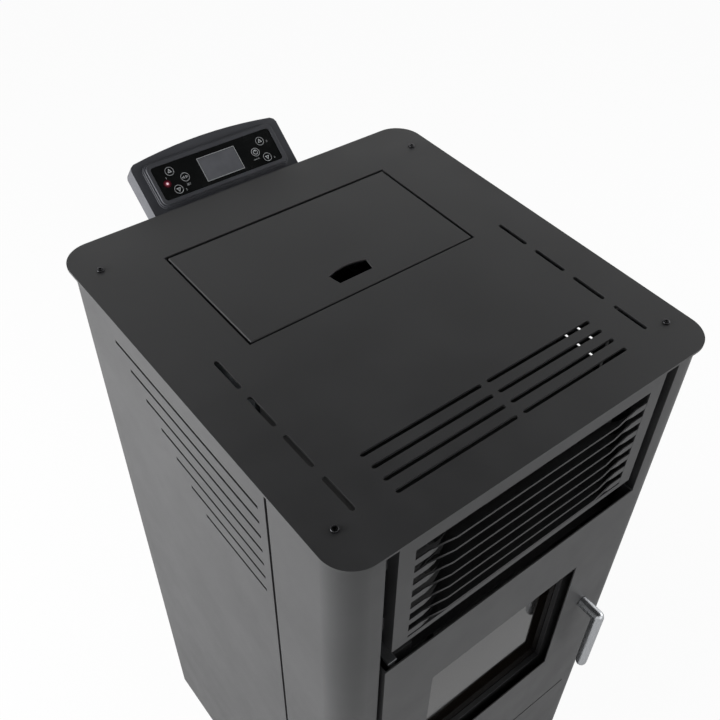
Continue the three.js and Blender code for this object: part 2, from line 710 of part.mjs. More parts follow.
function makeFrontGrille() {
  const openHalf = GRILLE_HALF - GRILLE_BORDER;
  const y0 = GRILLE_SETBACK;
  const y1 = y0 + SHEET;
  const face = rectangle(-GRILLE_HALF, GRILLE_HALF, GRILLE_BOTTOM, GRILLE_TOP);
  const openTop = GRILLE_TOP - GRILLE_TOP_BORDER;
  face.holes.push(rectangle(-openHalf, openHalf, GRILLE_BOTTOM + GRILLE_BOTTOM_BORDER, openTop));
  let grille = carriedBack(face, y0, y1);
  for (const side of [-1, 1]) {
    const x0 = Math.min(side * GRILLE_HALF, side * (GRILLE_HALF - SHEET));
    const returned = block(x0, x0 + SHEET, y1 - SHEET / 2, y0 + GRILLE_RETURN, GRILLE_BOTTOM, GRILLE_TOP);
    grille = joined(grille, returned);
    for (const z of [GRILLE_BOTTOM + GRILLE_TAB, GRILLE_TOP - 2 * GRILLE_TAB]) {
      const from = side * (GRILLE_HALF - SHEET / 2);
      const to = side * (COLUMN_INNER_X - SEAT_GAP);
      const y = BODY_FRONT + COLUMN_RETURN - SHEET;
      grille = joined(grille, block(Math.min(from, to), Math.max(from, to), y - SHEET, y, z, z + GRILLE_TAB));
    }
  }
  const shelf = block(-GRILLE_HALF, GRILLE_HALF, y1 - SHEET / 2, y0 + GRILLE_RETURN, GRILLE_BOTTOM,
    GRILLE_BOTTOM + SHEET);
  grille = joined(grille, shelf);
  for (let i = 0; i < BLADE_COUNT; i += 1) {
    const z = PLATE_TOP - BLADE_FIRST_DROP - i * BLADE_PITCH;
    grille = joined(grille, louvreBlade(openHalf + SHEET, (y0 + y1) / 2, z));
  }
  piece('front_grille', grille, BLACK_SHEET, stove);
}

// The folded arm that carries the keypad housing, its tongue leaning with the housing's back.
function keypadBracket() {
  const tilt = PANEL_TILT * RADIANS;
  const seat = -BEZEL_RISE - PANEL_DEPTH - SEAT_GAP;
  const centreZ = PLATE_TOP + PANEL_RISE;
  const onSeat = (up) => [
    PANEL_Y + up * Math.cos(tilt) - seat * Math.sin(tilt),
    centreZ + up * Math.sin(tilt) + seat * Math.cos(tilt),
  ];
  const armZ = PLATE_TOP - BRACKET_DROP;
  const rootY = REAR_PANEL_Y - SHEET / 2;
  const bendUp = (armZ - centreZ - seat * Math.cos(tilt)) / Math.sin(tilt);
  const path = [onSeat(PANEL_BOTTOM + BRACKET_GRIP), onSeat(bendUp), [rootY, armZ], [rootY,
    armZ - BRACKET_GRIP]];
  return carriedAcross(outline(strip(path, SHEET)), PANEL_X - BRACKET_HALF, PANEL_X + BRACKET_HALF);
}

function makeRearPanel() {
  const half = BODY_HALF - PANEL_BEND_RADIUS - SEAT_GAP;
  const sheet = rectangle(-half, half, BODY_BOTTOM + SHEET + SEAT_GAP, BODY_TOP);
  sheet.holes.push(rectangle(
    INLET_X - INLET_HALF_W - ROCKER_HALF_W * 2 - SEAT_GAP,
    INLET_X + INLET_HALF_W + SEAT_GAP,
    INLET_Z - INLET_HALF_H - SEAT_GAP,
    INLET_Z + INLET_HALF_H + SEAT_GAP,
  ));
  for (let i = 0; i < REAR_VENT_COUNT; i += 1) {
    const z = REAR_VENT_Z + i * REAR_VENT_PITCH;
    sheet.holes.push(rectangle(REAR_VENT_X, REAR_VENT_X + REAR_VENT_LENGTH, z, z + REAR_VENT_HEIGHT));
  }
  const panel = carriedBack(sheet, REAR_PANEL_Y - SHEET, REAR_PANEL_Y);
  const through = (radius, x, z, sides) => (
    rodY(radius + SEAT_GAP, REAR_PANEL_Y - 2 * SHEET, REAR_PANEL_Y + SHEET, x, z, sides)
  );
  const flueHole = through(FLUE_RADIUS, SMOKE_FAN_X, FLUE_Z, FLUE_SIDES);
  const airHole = through(AIR_PIPE_RADIUS, 0, AIR_PIPE_Z, AIR_PIPE_SIDES);
  piece('rear_panel', joined(cut(panel, flueHole, airHole), keypadBracket()), GALVANISED, stove);
}

function makeBasePan() {
  const half = BODY_HALF - SEAM_FLANGE - SEAT_GAP;
  const front = BODY_FRONT + BASE_SETBACK;
  const rear = REAR_PANEL_Y - SHEET - SEAT_GAP;
  const r = COLUMN_RADIUS;
  const floor = roundedRectangle(-half, half, front, rear, r);
  const inner = roundedRectangle(-half + SHEET, half - SHEET, front + SHEET, rear - SHEET, r - SHEET);
  const bottom = BODY_BOTTOM;
  let pan = cut(
    raised(floor, bottom, bottom + BASE_LIP),
    raised(inner, bottom + SHEET, bottom + BASE_LIP + SHEET),
  );
  for (const [x, y] of footPlaces()) {
    pan = cut(pan, rodZ(FOOT_STUD_RADIUS + RUN_GAP, bottom - SHEET, bottom + 2 * SHEET, x, y, SMALL_SIDES));
  }
  piece('base_pan', pan, BLACK_SHEET, stove);
}

function footPlaces() {
  const x = BODY_HALF - FOOT_INSET;
  return [[-x, BODY_FRONT + FOOT_INSET], [x, BODY_FRONT + FOOT_INSET],
    [-x, BODY_REAR - FOOT_INSET], [x, BODY_REAR - FOOT_INSET]];
}

function makeFeet() {
  const names = ['foot_front_left', 'foot_front_right', 'foot_rear_left', 'foot_rear_right'];
  footPlaces().forEach(([x, y], i) => {
    const top = BODY_BOTTOM + BASE_LIP - SHEET;
    const profile = [[0, 0], [FOOT_RADIUS, 0], [FOOT_RADIUS, FOOT_PAD], [FOOT_NECK, FOOT_PAD + SHEET],
      [FOOT_NECK, BODY_BOTTOM - SEAT_GAP], [FOOT_STUD_RADIUS, BODY_BOTTOM - SEAT_GAP],
      [FOOT_STUD_RADIUS, top], [0, top]];
    const points = profile.map(([radius, z]) => new THREE.Vector2(radius, z));
    const geometry = new THREE.LatheGeometry(points, SMALL_SIDES).rotateX(Math.PI / 2);
    piece(names[i], solid(geometry.translate(x, y, 0)), BLACK_PLASTIC, stove);
  });
}

function makeLowerFascia() {
  const half = DRAWER_FACE_HALF;
  const top = FASCIA_TOP;
  const y0 = DOOR_SETBACK;
  const face = block(-half, half, y0, y0 + SHEET, BODY_BOTTOM + SHEET, top);
  const ledge = block(-half, half, y0 + SHEET / 2, BODY_FRONT + BASE_SETBACK - SEAT_GAP, top - SHEET, top);
  const foot = block(-half, half, y0 + SHEET / 2, BODY_FRONT + BASE_SETBACK - SEAT_GAP, BODY_BOTTOM + SHEET,
    BODY_BOTTOM + 2 * SHEET);
  piece('lower_fascia', joined(face, ledge, foot), CHARCOAL, stove);
}

// ---------------------------------------------------------------- hopper and lid

function ring4(x0, x1, y0, y1, z) {
  return [x0, y0, z, x1, y0, z, x1, y1, z, x0, y1, z];
}

function makeHopperLid() {
  const half = LID_WIDTH / 2;
  const e = EDGE_ROUND;
  const shell = loft([
    ...ring4(-half, half, LID_FRONT, LID_REAR, LID_FLANGE_BOTTOM),
    ...ring4(-half, half, LID_FRONT, LID_REAR, PLATE_TOP - e),
    ...ring4(-half + e, half - e, LID_FRONT + e, LID_REAR - e, PLATE_TOP),
  ], BEND_STEPS, 3);
  const hollow = block(-half + SHEET, half - SHEET, LID_FRONT + SHEET, LID_REAR - SHEET,
    LID_FLANGE_BOTTOM - SHEET, PLATE_TOP - SHEET);
  const front = LID_FRONT + FINGER_SETBACK;
  const finger = new THREE.Shape();
  finger.moveTo(-FINGER_FRONT_HALF, front);
  finger.lineTo(FINGER_FRONT_HALF, front);
  finger.lineTo(FINGER_REAR_HALF, front + FINGER_DEPTH);
  finger.quadraticCurveTo(0, front + FINGER_DEPTH + 2 * FINGER_ARCH, -FINGER_REAR_HALF, front + FINGER_DEPTH);
  const hole = raised(finger, PLATE_TOP - 2 * SHEET, PLATE_TOP + SHEET, 8 * 4);
  const rodHole = rodX(LID_ROD_RADIUS + RUN_GAP, -half - SHEET, half + SHEET, LID_ROD_Y, LID_ROD_Z,
    SMALL_SIDES);
  piece('hopper_lid', cut(shell, hollow, hole, rodHole), CHARCOAL, stove);
}

function makeLidHingeRod() {
  const half = HOPPER_HALF + SHEET + LID_ROD_TAIL;
  const rod = rodX(LID_ROD_RADIUS, -half, half, LID_ROD_Y, LID_ROD_Z, SMALL_SIDES);
  piece('lid_hinge_rod', rod, RAW_STEEL, stove);
}

// The ledge and the gasket on it run along the front and both sides, up to the hinge rod.
function ledgeOutline(inset) {
  const half = HOPPER_HALF - inset;
  const reach = HOPPER_HALF - HOPPER_LEDGE;
  const front = HOPPER_FRONT + inset;
  const inner = HOPPER_FRONT + HOPPER_LEDGE;
  const rear = LID_ROD_Y - LID_ROD_INSET;
  return outline([[-half, front], [half, front], [half, rear], [reach, rear],
    [reach, inner], [-reach, inner], [-reach, rear], [-half, rear]]);
}

function makeLidGasket() {
  const top = LID_FLANGE_BOTTOM - SEAT_GAP;
  const gasket = raised(ledgeOutline(SEAT_GAP), top - LID_GASKET_THICK, top);
  piece('lid_gasket', gasket, RUBBER, stove);
}

function hopperSkin(inset, above, below) {
  const half = HOPPER_HALF + SHEET - inset;
  const front = HOPPER_FRONT - SHEET + inset;
  const rear = HOPPER_REAR + SHEET - inset;
  const out = HOPPER_OUTLET_HALF + SHEET - inset;
  const outFront = HOPPER_OUTLET_Y - out;
  const outRear = HOPPER_OUTLET_Y + out;
  return loft([
    ...ring4(-half, half, front, rear, BODY_TOP + above),
    ...ring4(-half, half, front, rear, FUNNEL_TOP),
    ...ring4(-out, out, outFront, outRear, FUNNEL_BOTTOM),
    ...ring4(-out, out, outFront, outRear, FUNNEL_BOTTOM - HOPPER_NECK - below),
  ], 4, 4);
}

function makeHopper() {
  const ledgeTop = LID_FLANGE_BOTTOM - 2 * SEAT_GAP - LID_GASKET_THICK;
  const ledge = raised(ledgeOutline(-SHEET / 2), ledgeTop - SHEET, ledgeTop);
  const rodHole = rodX(LID_ROD_RADIUS + SEAT_GAP, -PLATE_WIDTH / 2, PLATE_WIDTH / 2, LID_ROD_Y, LID_ROD_Z,
    SMALL_SIDES);
  const guardSeat = BODY_TOP - GUARD_DROP;
  const lug = (x0, x1, y0, y1) => block(x0, x1, y0, y1, guardSeat - SHEET, guardSeat);
  const reach = HOPPER_HALF - HOPPER_LEDGE / 2;
  const left = lug(-HOPPER_HALF - SHEET / 2, -reach, HOPPER_FRONT, HOPPER_REAR);
  const right = lug(reach, HOPPER_HALF + SHEET / 2, HOPPER_FRONT, HOPPER_REAR);
  const shell = cut(hopperSkin(0, 0, 0), hopperSkin(SHEET, SHEET, SHEET));
  const hopper = cut(joined(shell, ledge, left, right), rodHole, augerBarrel(AUGER_TUBE_RADIUS + SEAT_GAP));
  piece('hopper', hopper, GALVANISED, stove);
}

function makeHopperGuard() {
  const z0 = BODY_TOP - GUARD_DROP + SEAT_GAP;
  const z1 = z0 + GUARD_BAR;
  const half = HOPPER_HALF - SEAT_GAP;
  const front = HOPPER_FRONT + SEAT_GAP;
  const rear = HOPPER_REAR - SEAT_GAP;
  const inner = half - GUARD_FRAME;
  const frame = rectangle(-half, half, front, rear);
  frame.holes.push(rectangle(-inner, inner, front + GUARD_FRAME, rear - GUARD_FRAME));
  const weld = GUARD_BAR / 4;
  const wires = [];
  const pitch = 2 * inner / (GUARD_BARS + 1);
  for (let i = 1; i <= GUARD_BARS; i += 1) {
    const x = -inner + i * pitch;
    wires.push(block(x - GUARD_BAR / 2, x + GUARD_BAR / 2, front + weld, rear - weld, z1 - weld,
      z1 + GUARD_BAR / 2));
  }
  const middle = (front + rear) / 2;
  const across = block(-half + weld, half - weld, middle - GUARD_BAR / 2, middle + GUARD_BAR / 2, z0 + weld,
    z1 - weld / 2);
  piece('hopper_guard', joined(raised(frame, z0, z1), across, ...wires), GALVANISED, stove);
}

// ---------------------------------------------------------------- pellet feed

// The feed is built upright, its lower end at the origin, then leant forwards and set in place.
const augerFrame = new THREE.Matrix4()
  .makeTranslation(0, AUGER_FOOT_Y, AUGER_FOOT_Z)
  .multiply(new THREE.Matrix4().makeRotationX(AUGER_TILT * RADIANS));

function leant(geometry) {
  return solid(geometry.applyMatrix4(augerFrame));
}

function leantRod(radius, z0, z1, sides = ROUND_SIDES) {
  return leant(cylinder(radius, z1 - z0, sides).rotateX(Math.PI / 2).translate(0, 0, (z0 + z1) / 2));
}

function leantBlock(x0, x1, y0, y1, z0, z1) {
  const geometry = new THREE.BoxGeometry(x1 - x0, y1 - y0, z1 - z0);
  return leant(geometry.translate((x0 + x1) / 2, (y0 + y1) / 2, (z0 + z1) / 2));
}

function augerBarrel(radius) {
  return leantRod(radius, -SEAT_GAP, AUGER_TUBE_LENGTH + SEAT_GAP);
}

function makeAugerTube() {
  const bore = leantRod(AUGER_TUBE_RADIUS - AUGER_TUBE_WALL, AUGER_TUBE_WALL,
    AUGER_TUBE_LENGTH - AUGER_TUBE_WALL);
  const shaftHole = leantRod(AUGER_SHAFT_RADIUS + RUN_GAP, -SHEET, 2 * AUGER_TUBE_WALL, SMALL_SIDES);
  const in0 = HOPPER_OUTLET_HALF - AUGER_TUBE_WALL;
  const inlet = block(-in0, in0, HOPPER_OUTLET_Y - in0, HOPPER_OUTLET_Y + in0, INLET_FLOOR, FUNNEL_BOTTOM);
  const open = CHUTE_HALF - CHUTE_WALL;
  const outlet = leantBlock(-open, open, -2 * AUGER_TUBE_RADIUS, -AUGER_SHAFT_RADIUS, CHUTE_PLACE - open,
    CHUTE_PLACE + open);
  const tube = cut(leantRod(AUGER_TUBE_RADIUS, 0, AUGER_TUBE_LENGTH), bore, shaftHole, inlet, outlet);
  piece('auger_tube', tube, GALVANISED, stove);
}

function makeAugerScrew() {
  const z0 = AUGER_TUBE_WALL + AUGER_RUN_GAP;
  const z1 = AUGER_TUBE_LENGTH - AUGER_TUBE_WALL - SEAT_GAP;
  const turns = (z1 - z0 - 2 * AUGER_FLIGHT) / AUGER_PITCH;
  const steps = Math.ceil(turns * SMALL_SIDES);
  const positions = [];
  for (let i = 0; i <= steps; i += 1) {
    const angle = Math.PI * 2 * turns * i / steps;
    const z = z0 + AUGER_FLIGHT + (z1 - z0 - 2 * AUGER_FLIGHT) * i / steps;
    for (const [radius, up] of [[AUGER_SHAFT_RADIUS / 2, -1], [AUGER_RADIUS, -1], [AUGER_RADIUS, 1],
      [AUGER_SHAFT_RADIUS / 2, 1]]) {
      positions.push(radius * Math.cos(angle), radius * Math.sin(angle), z + up * AUGER_FLIGHT / 2);
    }
  }
  const flight = loft(positions, 4, steps + 1, augerFrame);
  const shaft = leantRod(AUGER_SHAFT_RADIUS, -GEARBOX_LENGTH / 2, z1, SMALL_SIDES);
  piece('auger_screw', joined(shaft, flight), RAW_STEEL, stove);
}

function makeAugerGearmotor() {
  const g = GEARBOX_SIZE / 2;
  const top = -SEAT_GAP;
  const box = leantBlock(-g, g, -g, g, top - GEARBOX_LENGTH, top);
  const seat = top - GEARBOX_LENGTH + SHEET / 2;
  const motor = leantRod(GEARMOTOR_RADIUS, seat - GEARMOTOR_LENGTH, seat);
  const socket = leantRod(AUGER_SHAFT_RADIUS + RUN_GAP, -GEARBOX_LENGTH / 2 - RUN_GAP, SHEET, SMALL_SIDES);
  piece('auger_gearmotor', cut(joined(box, motor), socket), RAW_STEEL, stove);
}

function chuteDuct(half, length) {
  return leantBlock(-half, half, -length, -SHEET, CHUTE_PLACE - half, CHUTE_PLACE + half);
}

function makePelletChute() {
  const duct = cut(chuteDuct(CHUTE_HALF, CHUTE_LENGTH), chuteDuct(CHUTE_HALF - CHUTE_WALL,
    CHUTE_LENGTH + SHEET));
  piece('pellet_chute', cut(duct, augerBarrel(AUGER_TUBE_RADIUS + SEAT_GAP)), GALVANISED, stove);
}

// ---------------------------------------------------------------- fire side

function tubePlaces() {
  const places = [];
  for (let row = 0; row < TUBE_ROWS; row += 1) {
    for (let column = 0; column < TUBE_COLUMNS; column += 1) {
      const x = (column - (TUBE_COLUMNS - 1) / 2) * TUBE_PITCH;
      places.push([x, FIREBOX_TOP - TUBE_DROP - row * TUBE_ROW_PITCH]);
    }
  }
  return places;
}

function makeFirebox() {
  const half = FIREBOX_HALF;
  const t = FIREBOX_WALL;
  const y0 = FIREBOX_FRONT_Y;
  const y1 = FIREBOX_REAR_Y;
  let body = block(-half, half, y0, y1, FIREBOX_BOTTOM, FIREBOX_TOP);
  const flange = block(-FIREBOX_FLANGE_HALF, FIREBOX_FLANGE_HALF, y0, y0 + t, FLANGE_BOTTOM, FLANGE_TOP);
  body = joined(body, flange);
  body = cut(body, block(-half + t, half - t, y0 + t, y1 - t, HEARTH_Z, FIREBOX_TOP - t));
  body = cut(body, block(-MOUTH_HALF, MOUTH_HALF, y0 - t, y0 + 2 * t, MOUTH_BOTTOM, MOUTH_TOP));
  body = cut(body, block(-ASH_HOLE_HALF, ASH_HOLE_HALF, ASH_HOLE_FRONT, ASH_HOLE_REAR, FIREBOX_BOTTOM - t,
    HEARTH_Z + t));
  const skirtFoot = BODY_BOTTOM + SHEET + SEAT_GAP;
  for (const side of [-1, 1]) {
    const span = (a, b) => [Math.min(side * a, side * b), Math.max(side * a, side * b)];
    const skirt = block(...span(half - t, half), SKIRT_FRONT, y1, skirtFoot, FIREBOX_BOTTOM + t / 2);
    const rail = block(...span(half - t - RAIL_WIDTH, half - t / 2), SKIRT_FRONT, y1,
      DRAWER_FLOOR_Z - SEAT_GAP - SHEET, DRAWER_FLOOR_Z - SEAT_GAP);
    const ledge = block(...span(half - t - RAIL_WIDTH, half - t / 2), y0 + t / 2, y1 - t / 2,
      BAFFLE_Z - SEAT_GAP - SHEET, BAFFLE_Z - SEAT_GAP);
    body = joined(body, skirt, rail, ledge);
  }
  for (const [x, z] of tubePlaces()) {
    body = cut(body, rodY(TUBE_RADIUS + SEAT_GAP, y0 - t, y1 + t, x, z, TUBE_SIDES));
  }
  body = cut(body, chuteDuct(CHUTE_HALF + SEAT_GAP, CHUTE_LENGTH + SHEET));
  body = cut(body, rodY(IGNITER_RADIUS + SEAT_GAP, y1 - 2 * t, y1 + t, 0, IGNITER_Z, SMALL_SIDES));
  body = cut(body, rodY(SMOKE_PORT_RADIUS, y1 - 2 * t, y1 + t, SMOKE_FAN_X + SMOKE_PORT_SHIFT,
    FIREBOX_BOTTOM + SMOKE_PORT_RISE));
  body = cut(body, rodY(AIR_PIPE_RADIUS - FLUE_WALL, y1 - 2 * t, y1 + t, 0, AIR_PIPE_Z));
  piece('firebox', body, BLACK_SHEET, stove);
}

function makeHeatExchanger() {
  const y0 = FIREBOX_FRONT_Y - SHEET;
  const y1 = FIREBOX_REAR_Y + SHEET;
  const half = FIREBOX_HALF - FIREBOX_WALL - 4 * SEAT_GAP;
  const low = FIREBOX_TOP - TUBE_DROP - (TUBE_ROWS - 1) * TUBE_ROW_PITCH - TUBE_RADIUS - SHEET;
  const middle = (y0 + y1) / 2;
  const top = FIREBOX_TOP - FIREBOX_WALL - SEAT_GAP;
  let bundle = block(-half, half, middle - SHEET, middle + SHEET, low, top);
  for (const [x, z] of tubePlaces()) {
    bundle = joined(bundle, rodY(TUBE_RADIUS, y0, y1, x, z, TUBE_SIDES));
  }
  for (const [x, z] of tubePlaces()) {
    bundle = cut(bundle, rodY(TUBE_RADIUS - TUBE_WALL, y0 - SHEET, y1 + SHEET, x, z, TUBE_SIDES));
  }
  piece('heat_exchanger', bundle, RAW_STEEL, stove);
}

function makeBaffle() {
  const half = FIREBOX_HALF - FIREBOX_WALL - SEAT_GAP;
  const front = FIREBOX_FRONT_Y + FIREBOX_WALL + BAFFLE_GAP;
  const rear = FIREBOX_REAR_Y - FIREBOX_WALL - SEAT_GAP;
  piece('baffle', block(-half, half, front, rear, BAFFLE_Z, BAFFLE_Z + BAFFLE_THICK), LINER_BUFF, stove);
}

function makeLiner() {
  const half = FIREBOX_HALF - FIREBOX_WALL - SEAT_GAP;
  const rear = FIREBOX_REAR_Y - FIREBOX_WALL - SEAT_GAP;
  const top = BAFFLE_Z - 2 * SEAT_GAP - SHEET;
  let liner = block(-half, half, rear - LINER_THICK, rear, HEARTH_Z + SEAT_GAP, top);
  liner = cut(liner, chuteDuct(CHUTE_HALF + SEAT_GAP, CHUTE_LENGTH + 2 * LINER_THICK));
  const port = (radius, x, z) => rodY(radius, rear - LINER_THICK - SHEET, rear + SHEET, x, z, SMALL_SIDES);
  liner = cut(liner, port(IGNITER_RADIUS + SEAT_GAP, 0, IGNITER_Z));
  liner = cut(liner, port(AIR_PIPE_RADIUS - FLUE_WALL, 0, AIR_PIPE_Z));
  liner = cut(liner, port(SMOKE_PORT_RADIUS, SMOKE_FAN_X + SMOKE_PORT_SHIFT,
    FIREBOX_BOTTOM + SMOKE_PORT_RISE));
  for (let i = 1; i < LINER_FLUTES; i += 1) {
    const x = -half + i * 2 * half / LINER_FLUTES;
    const groove = block(x - SHEET, x + SHEET, rear - LINER_THICK - SHEET, rear - LINER_THICK + SHEET,
      LINER_FLUTE_Z, top - LINER_THICK);
    liner = cut(liner, groove);
  }
  piece('firebox_liner', liner, LINER_BUFF, stove);
}

function makeBurnPotHolder() {
  const inner = POT_HALF + RUN_GAP;
  const outer = inner + HOLDER_WALL;
  const y = POT_CENTRE_Y;
  const z0 = HEARTH_Z + SEAT_GAP;
  const z1 = z0 + HOLDER_HEIGHT;
  let holder = block(-outer, outer, y - outer, y + outer, z0, z1);
  holder = joined(holder, block(-outer - HOLDER_FOOT, outer + HOLDER_FOOT, y - outer, y + outer, z0,
    z0 + HOLDER_WALL));
  holder = cut(holder, block(-inner, inner, y - inner, y + inner, z0 + HOLDER_WALL, z1 + HOLDER_WALL));
  holder = cut(holder, rodY(IGNITER_RADIUS + SEAT_GAP, y + inner - SHEET, y + outer + SHEET, 0, IGNITER_Z,
    SMALL_SIDES));
  piece('burn_pot_holder', holder, CAST_IRON, stove);
}

function makeBurnPot() {
  const h = POT_HALF;
  const y = POT_CENTRE_Y;
  const top = HEARTH_Z + 2 * SEAT_GAP + HOLDER_HEIGHT + POT_WALL;
  const bottom = top - POT_DEPTH;
  const rim = h + HOLDER_WALL;
  let pot = joined(
    block(-h, h, y - h, y + h, bottom, top),
    block(-rim, rim, y - rim, y + rim, top - POT_WALL, top),
    block(-h, h, y - h, y + h, top - POT_WALL, top + POT_RIM),
  );
  pot = cut(pot, block(-h + POT_WALL, h - POT_WALL, y - h + POT_WALL, y + h - POT_WALL, bottom + POT_WALL,
    top + 2 * POT_RIM));
  for (const dx of [-1, 0, 1]) {
    for (const dy of [-1, 0, 1]) {
      const x = dx * POT_HOLE_PITCH;
      pot = cut(pot, rodZ(POT_HOLE_RADIUS, bottom - POT_WALL, bottom + 2 * POT_WALL, x,
        y + dy * POT_HOLE_PITCH, HOLE_SIDES));
    }
  }
  piece('burn_pot', pot, CAST_IRON, stove);
}

function makeIgniter() {
  const front = POT_CENTRE_Y + POT_HALF + SHEET;
  const rear = FIREBOX_REAR_Y + IGNITER_TAIL;
  const rod = rodY(IGNITER_RADIUS, front, rear, 0, IGNITER_Z, SMALL_SIDES);
  const collar = rodY(IGNITER_RADIUS * 2, FIREBOX_REAR_Y + SEAT_GAP, FIREBOX_REAR_Y + IGNITER_RADIUS, 0,
    IGNITER_Z,
    SMALL_SIDES);
  piece('igniter', joined(rod, collar), STAINLESS, stove);
}

// ---------------------------------------------------------------- door

function makeDoorSkin() {
  const face = rectangle(-DOOR_HALF, DOOR_HALF, DOOR_BOTTOM, DOOR_TOP);
  face.holes.push(rectangle(-WINDOW_HALF, WINDOW_HALF, WINDOW_BOTTOM, WINDOW_TOP));
  let skin = carriedBack(face, DOOR_SETBACK, DOOR_SETBACK + SHEET);
  for (const side of [-1, 1]) {
    const x0 = Math.min(side * DOOR_HALF, side * (DOOR_HALF - SHEET));
    skin = joined(skin, block(x0, x0 + SHEET, DOOR_SETBACK + SHEET / 2, DOOR_SETBACK + DOOR_FLANGE,
      DOOR_BOTTOM,
      DOOR_TOP));
  }
  skin = cut(skin, rodY(HANDLE_SHAFT_RADIUS + RUN_GAP, 0, DOOR_SETBACK + DOOR_FLANGE, HANDLE_X, WINDOW_MID,
    SMALL_SIDES));
  piece('door_skin', skin, CHARCOAL, stove);
}

function makeDoorFrame() {
  const frameFace = rectangle(-FRAME_HALF, FRAME_HALF, FRAME_BOTTOM, FRAME_TOP);
  frameFace.holes.push(rectangle(-WINDOW_HALF, WINDOW_HALF, WINDOW_BOTTOM, WINDOW_TOP));
  let frame = carriedBack(frameFace, FRAME_FRONT, FRAME_REAR);
  const lap = GLASS_LAP + SEAT_GAP;
  frame = cut(frame, block(-WINDOW_HALF - lap, WINDOW_HALF + lap, FRAME_REAR - GLASS_THICK - 2 * SEAT_GAP,
    FRAME_REAR + SHEET, WINDOW_BOTTOM - lap, WINDOW_TOP + lap));
  const spacerFront = DOOR_SETBACK + SHEET + SEAT_GAP;
  for (const x of [-SPACER_X, SPACER_X]) {
    for (const z of [FRAME_TOP - SPACER_HEIGHT, FRAME_BOTTOM]) {
      frame = joined(frame, block(x - SHEET / 2, x + SHEET / 2, spacerFront, FRAME_FRONT + SHEET, z,
        z + SPACER_HEIGHT));
    }
  }
  for (const z0 of [DOOR_TOP - SHEET - KNUCKLE_LENGTH, DOOR_BOTTOM + SHEET]) {
    const z1 = z0 + KNUCKLE_LENGTH;
    const knuckle = rodZ(KNUCKLE_RADIUS, z0, z1, HINGE_X, HINGE_Y, SMALL_SIDES);
    const armY = HINGE_Y + HINGE_PIN_RADIUS + RUN_GAP + SEAT_GAP;
    const arm = block(HINGE_X - SHEET, -FRAME_HALF + KNUCKLE_LENGTH, armY, FRAME_FRONT + 2 * SHEET,
      Math.min(z0, FRAME_TOP - KNUCKLE_LENGTH / 2), Math.max(z1, FRAME_BOTTOM + KNUCKLE_LENGTH / 2));
    frame = joined(frame, knuckle, arm);
  }
  for (const [z0, z1] of [[DOOR_TOP - 2 * KNUCKLE_LENGTH, DOOR_TOP + SHEET],
    [DOOR_BOTTOM - SHEET, DOOR_BOTTOM + 2 * KNUCKLE_LENGTH]]) {
    frame = cut(frame, rodZ(HINGE_PIN_RADIUS + RUN_GAP, z0, z1, HINGE_X, HINGE_Y, SMALL_SIDES));
  }
  frame = cut(frame, rodY(HANDLE_SHAFT_RADIUS + RUN_GAP, FRAME_FRONT - SHEET, FRAME_REAR + SHEET, HANDLE_X,
    WINDOW_MID,
    SMALL_SIDES));
  piece('door_frame', frame, CAST_IRON, stove);
}

function makeDoorGlass() {
  const y1 = FRAME_REAR - SEAT_GAP;
  const glass = block(-WINDOW_HALF - GLASS_LAP, WINDOW_HALF + GLASS_LAP, y1 - GLASS_THICK, y1,
    WINDOW_BOTTOM - GLASS_LAP, WINDOW_TOP + GLASS_LAP);
  piece('door_glass', glass, CERAMIC_GLASS, stove);
}

function makeDoorGasket() {
  const inner = GASKET_INSET;
  const outer = GASKET_INSET + GASKET_SIZE;
  const ring = rectangle(-MOUTH_HALF - outer, MOUTH_HALF + outer, MOUTH_BOTTOM - outer, MOUTH_TOP + outer);
  ring.holes.push(rectangle(-MOUTH_HALF - inner, MOUTH_HALF + inner, MOUTH_BOTTOM - inner,
    MOUTH_TOP + inner));
  piece('door_gasket', carriedBack(ring, FRAME_REAR + SEAT_GAP, FIREBOX_FRONT_Y - SEAT_GAP), ROPE_GREY,
    stove);
}

// A hinge pin with the lug that ties it to the firebox's front flange.
function makeHingePin(name, lugZ, pinFrom, pinTo) {
  const r = HINGE_PIN_RADIUS;
  const x0 = HINGE_X - KNUCKLE_RADIUS;
  const x1 = HINGE_X + KNUCKLE_RADIUS;
  const rear = FIREBOX_FRONT_Y - SEAT_GAP;
  const lug = block(x0, x1, HINGE_Y - r - SHEET / 2, rear, lugZ, lugZ + HINGE_LUG);
  const reach = lugZ > WINDOW_MID ? LUG_FOOT : -LUG_FOOT;
  const foot = block(x0, x1, rear - HINGE_LUG, rear, Math.min(lugZ, lugZ + reach),
    Math.max(lugZ + HINGE_LUG, lugZ + reach));
  const pin = rodZ(r, pinFrom, pinTo, HINGE_X, HINGE_Y, SMALL_SIDES);
  piece(name, joined(lug, foot, pin), RAW_STEEL, stove);
}

function makeDoorHandle() {
  const z = WINDOW_MID;
  const y0 = DOOR_SETBACK - HANDLE_STANDOFF;
  const shaft = rodY(HANDLE_SHAFT_RADIUS, y0, LATCH_REAR - SEAT_GAP, HANDLE_X, z, SMALL_SIDES);
  const hub = rodY(HANDLE_GRIP_RADIUS, y0, DOOR_SETBACK - SEAT_GAP, HANDLE_X, z, SMALL_SIDES);
  const grip = new THREE.CapsuleGeometry(HANDLE_GRIP_RADIUS, HANDLE_LENGTH, 3, SMALL_SIDES);
  grip.rotateX(Math.PI / 2).translate(HANDLE_X, y0, z - HANDLE_LENGTH / 2);
  piece('door_handle', joined(shaft, hub, solid(grip)), STAINLESS, stove);
}

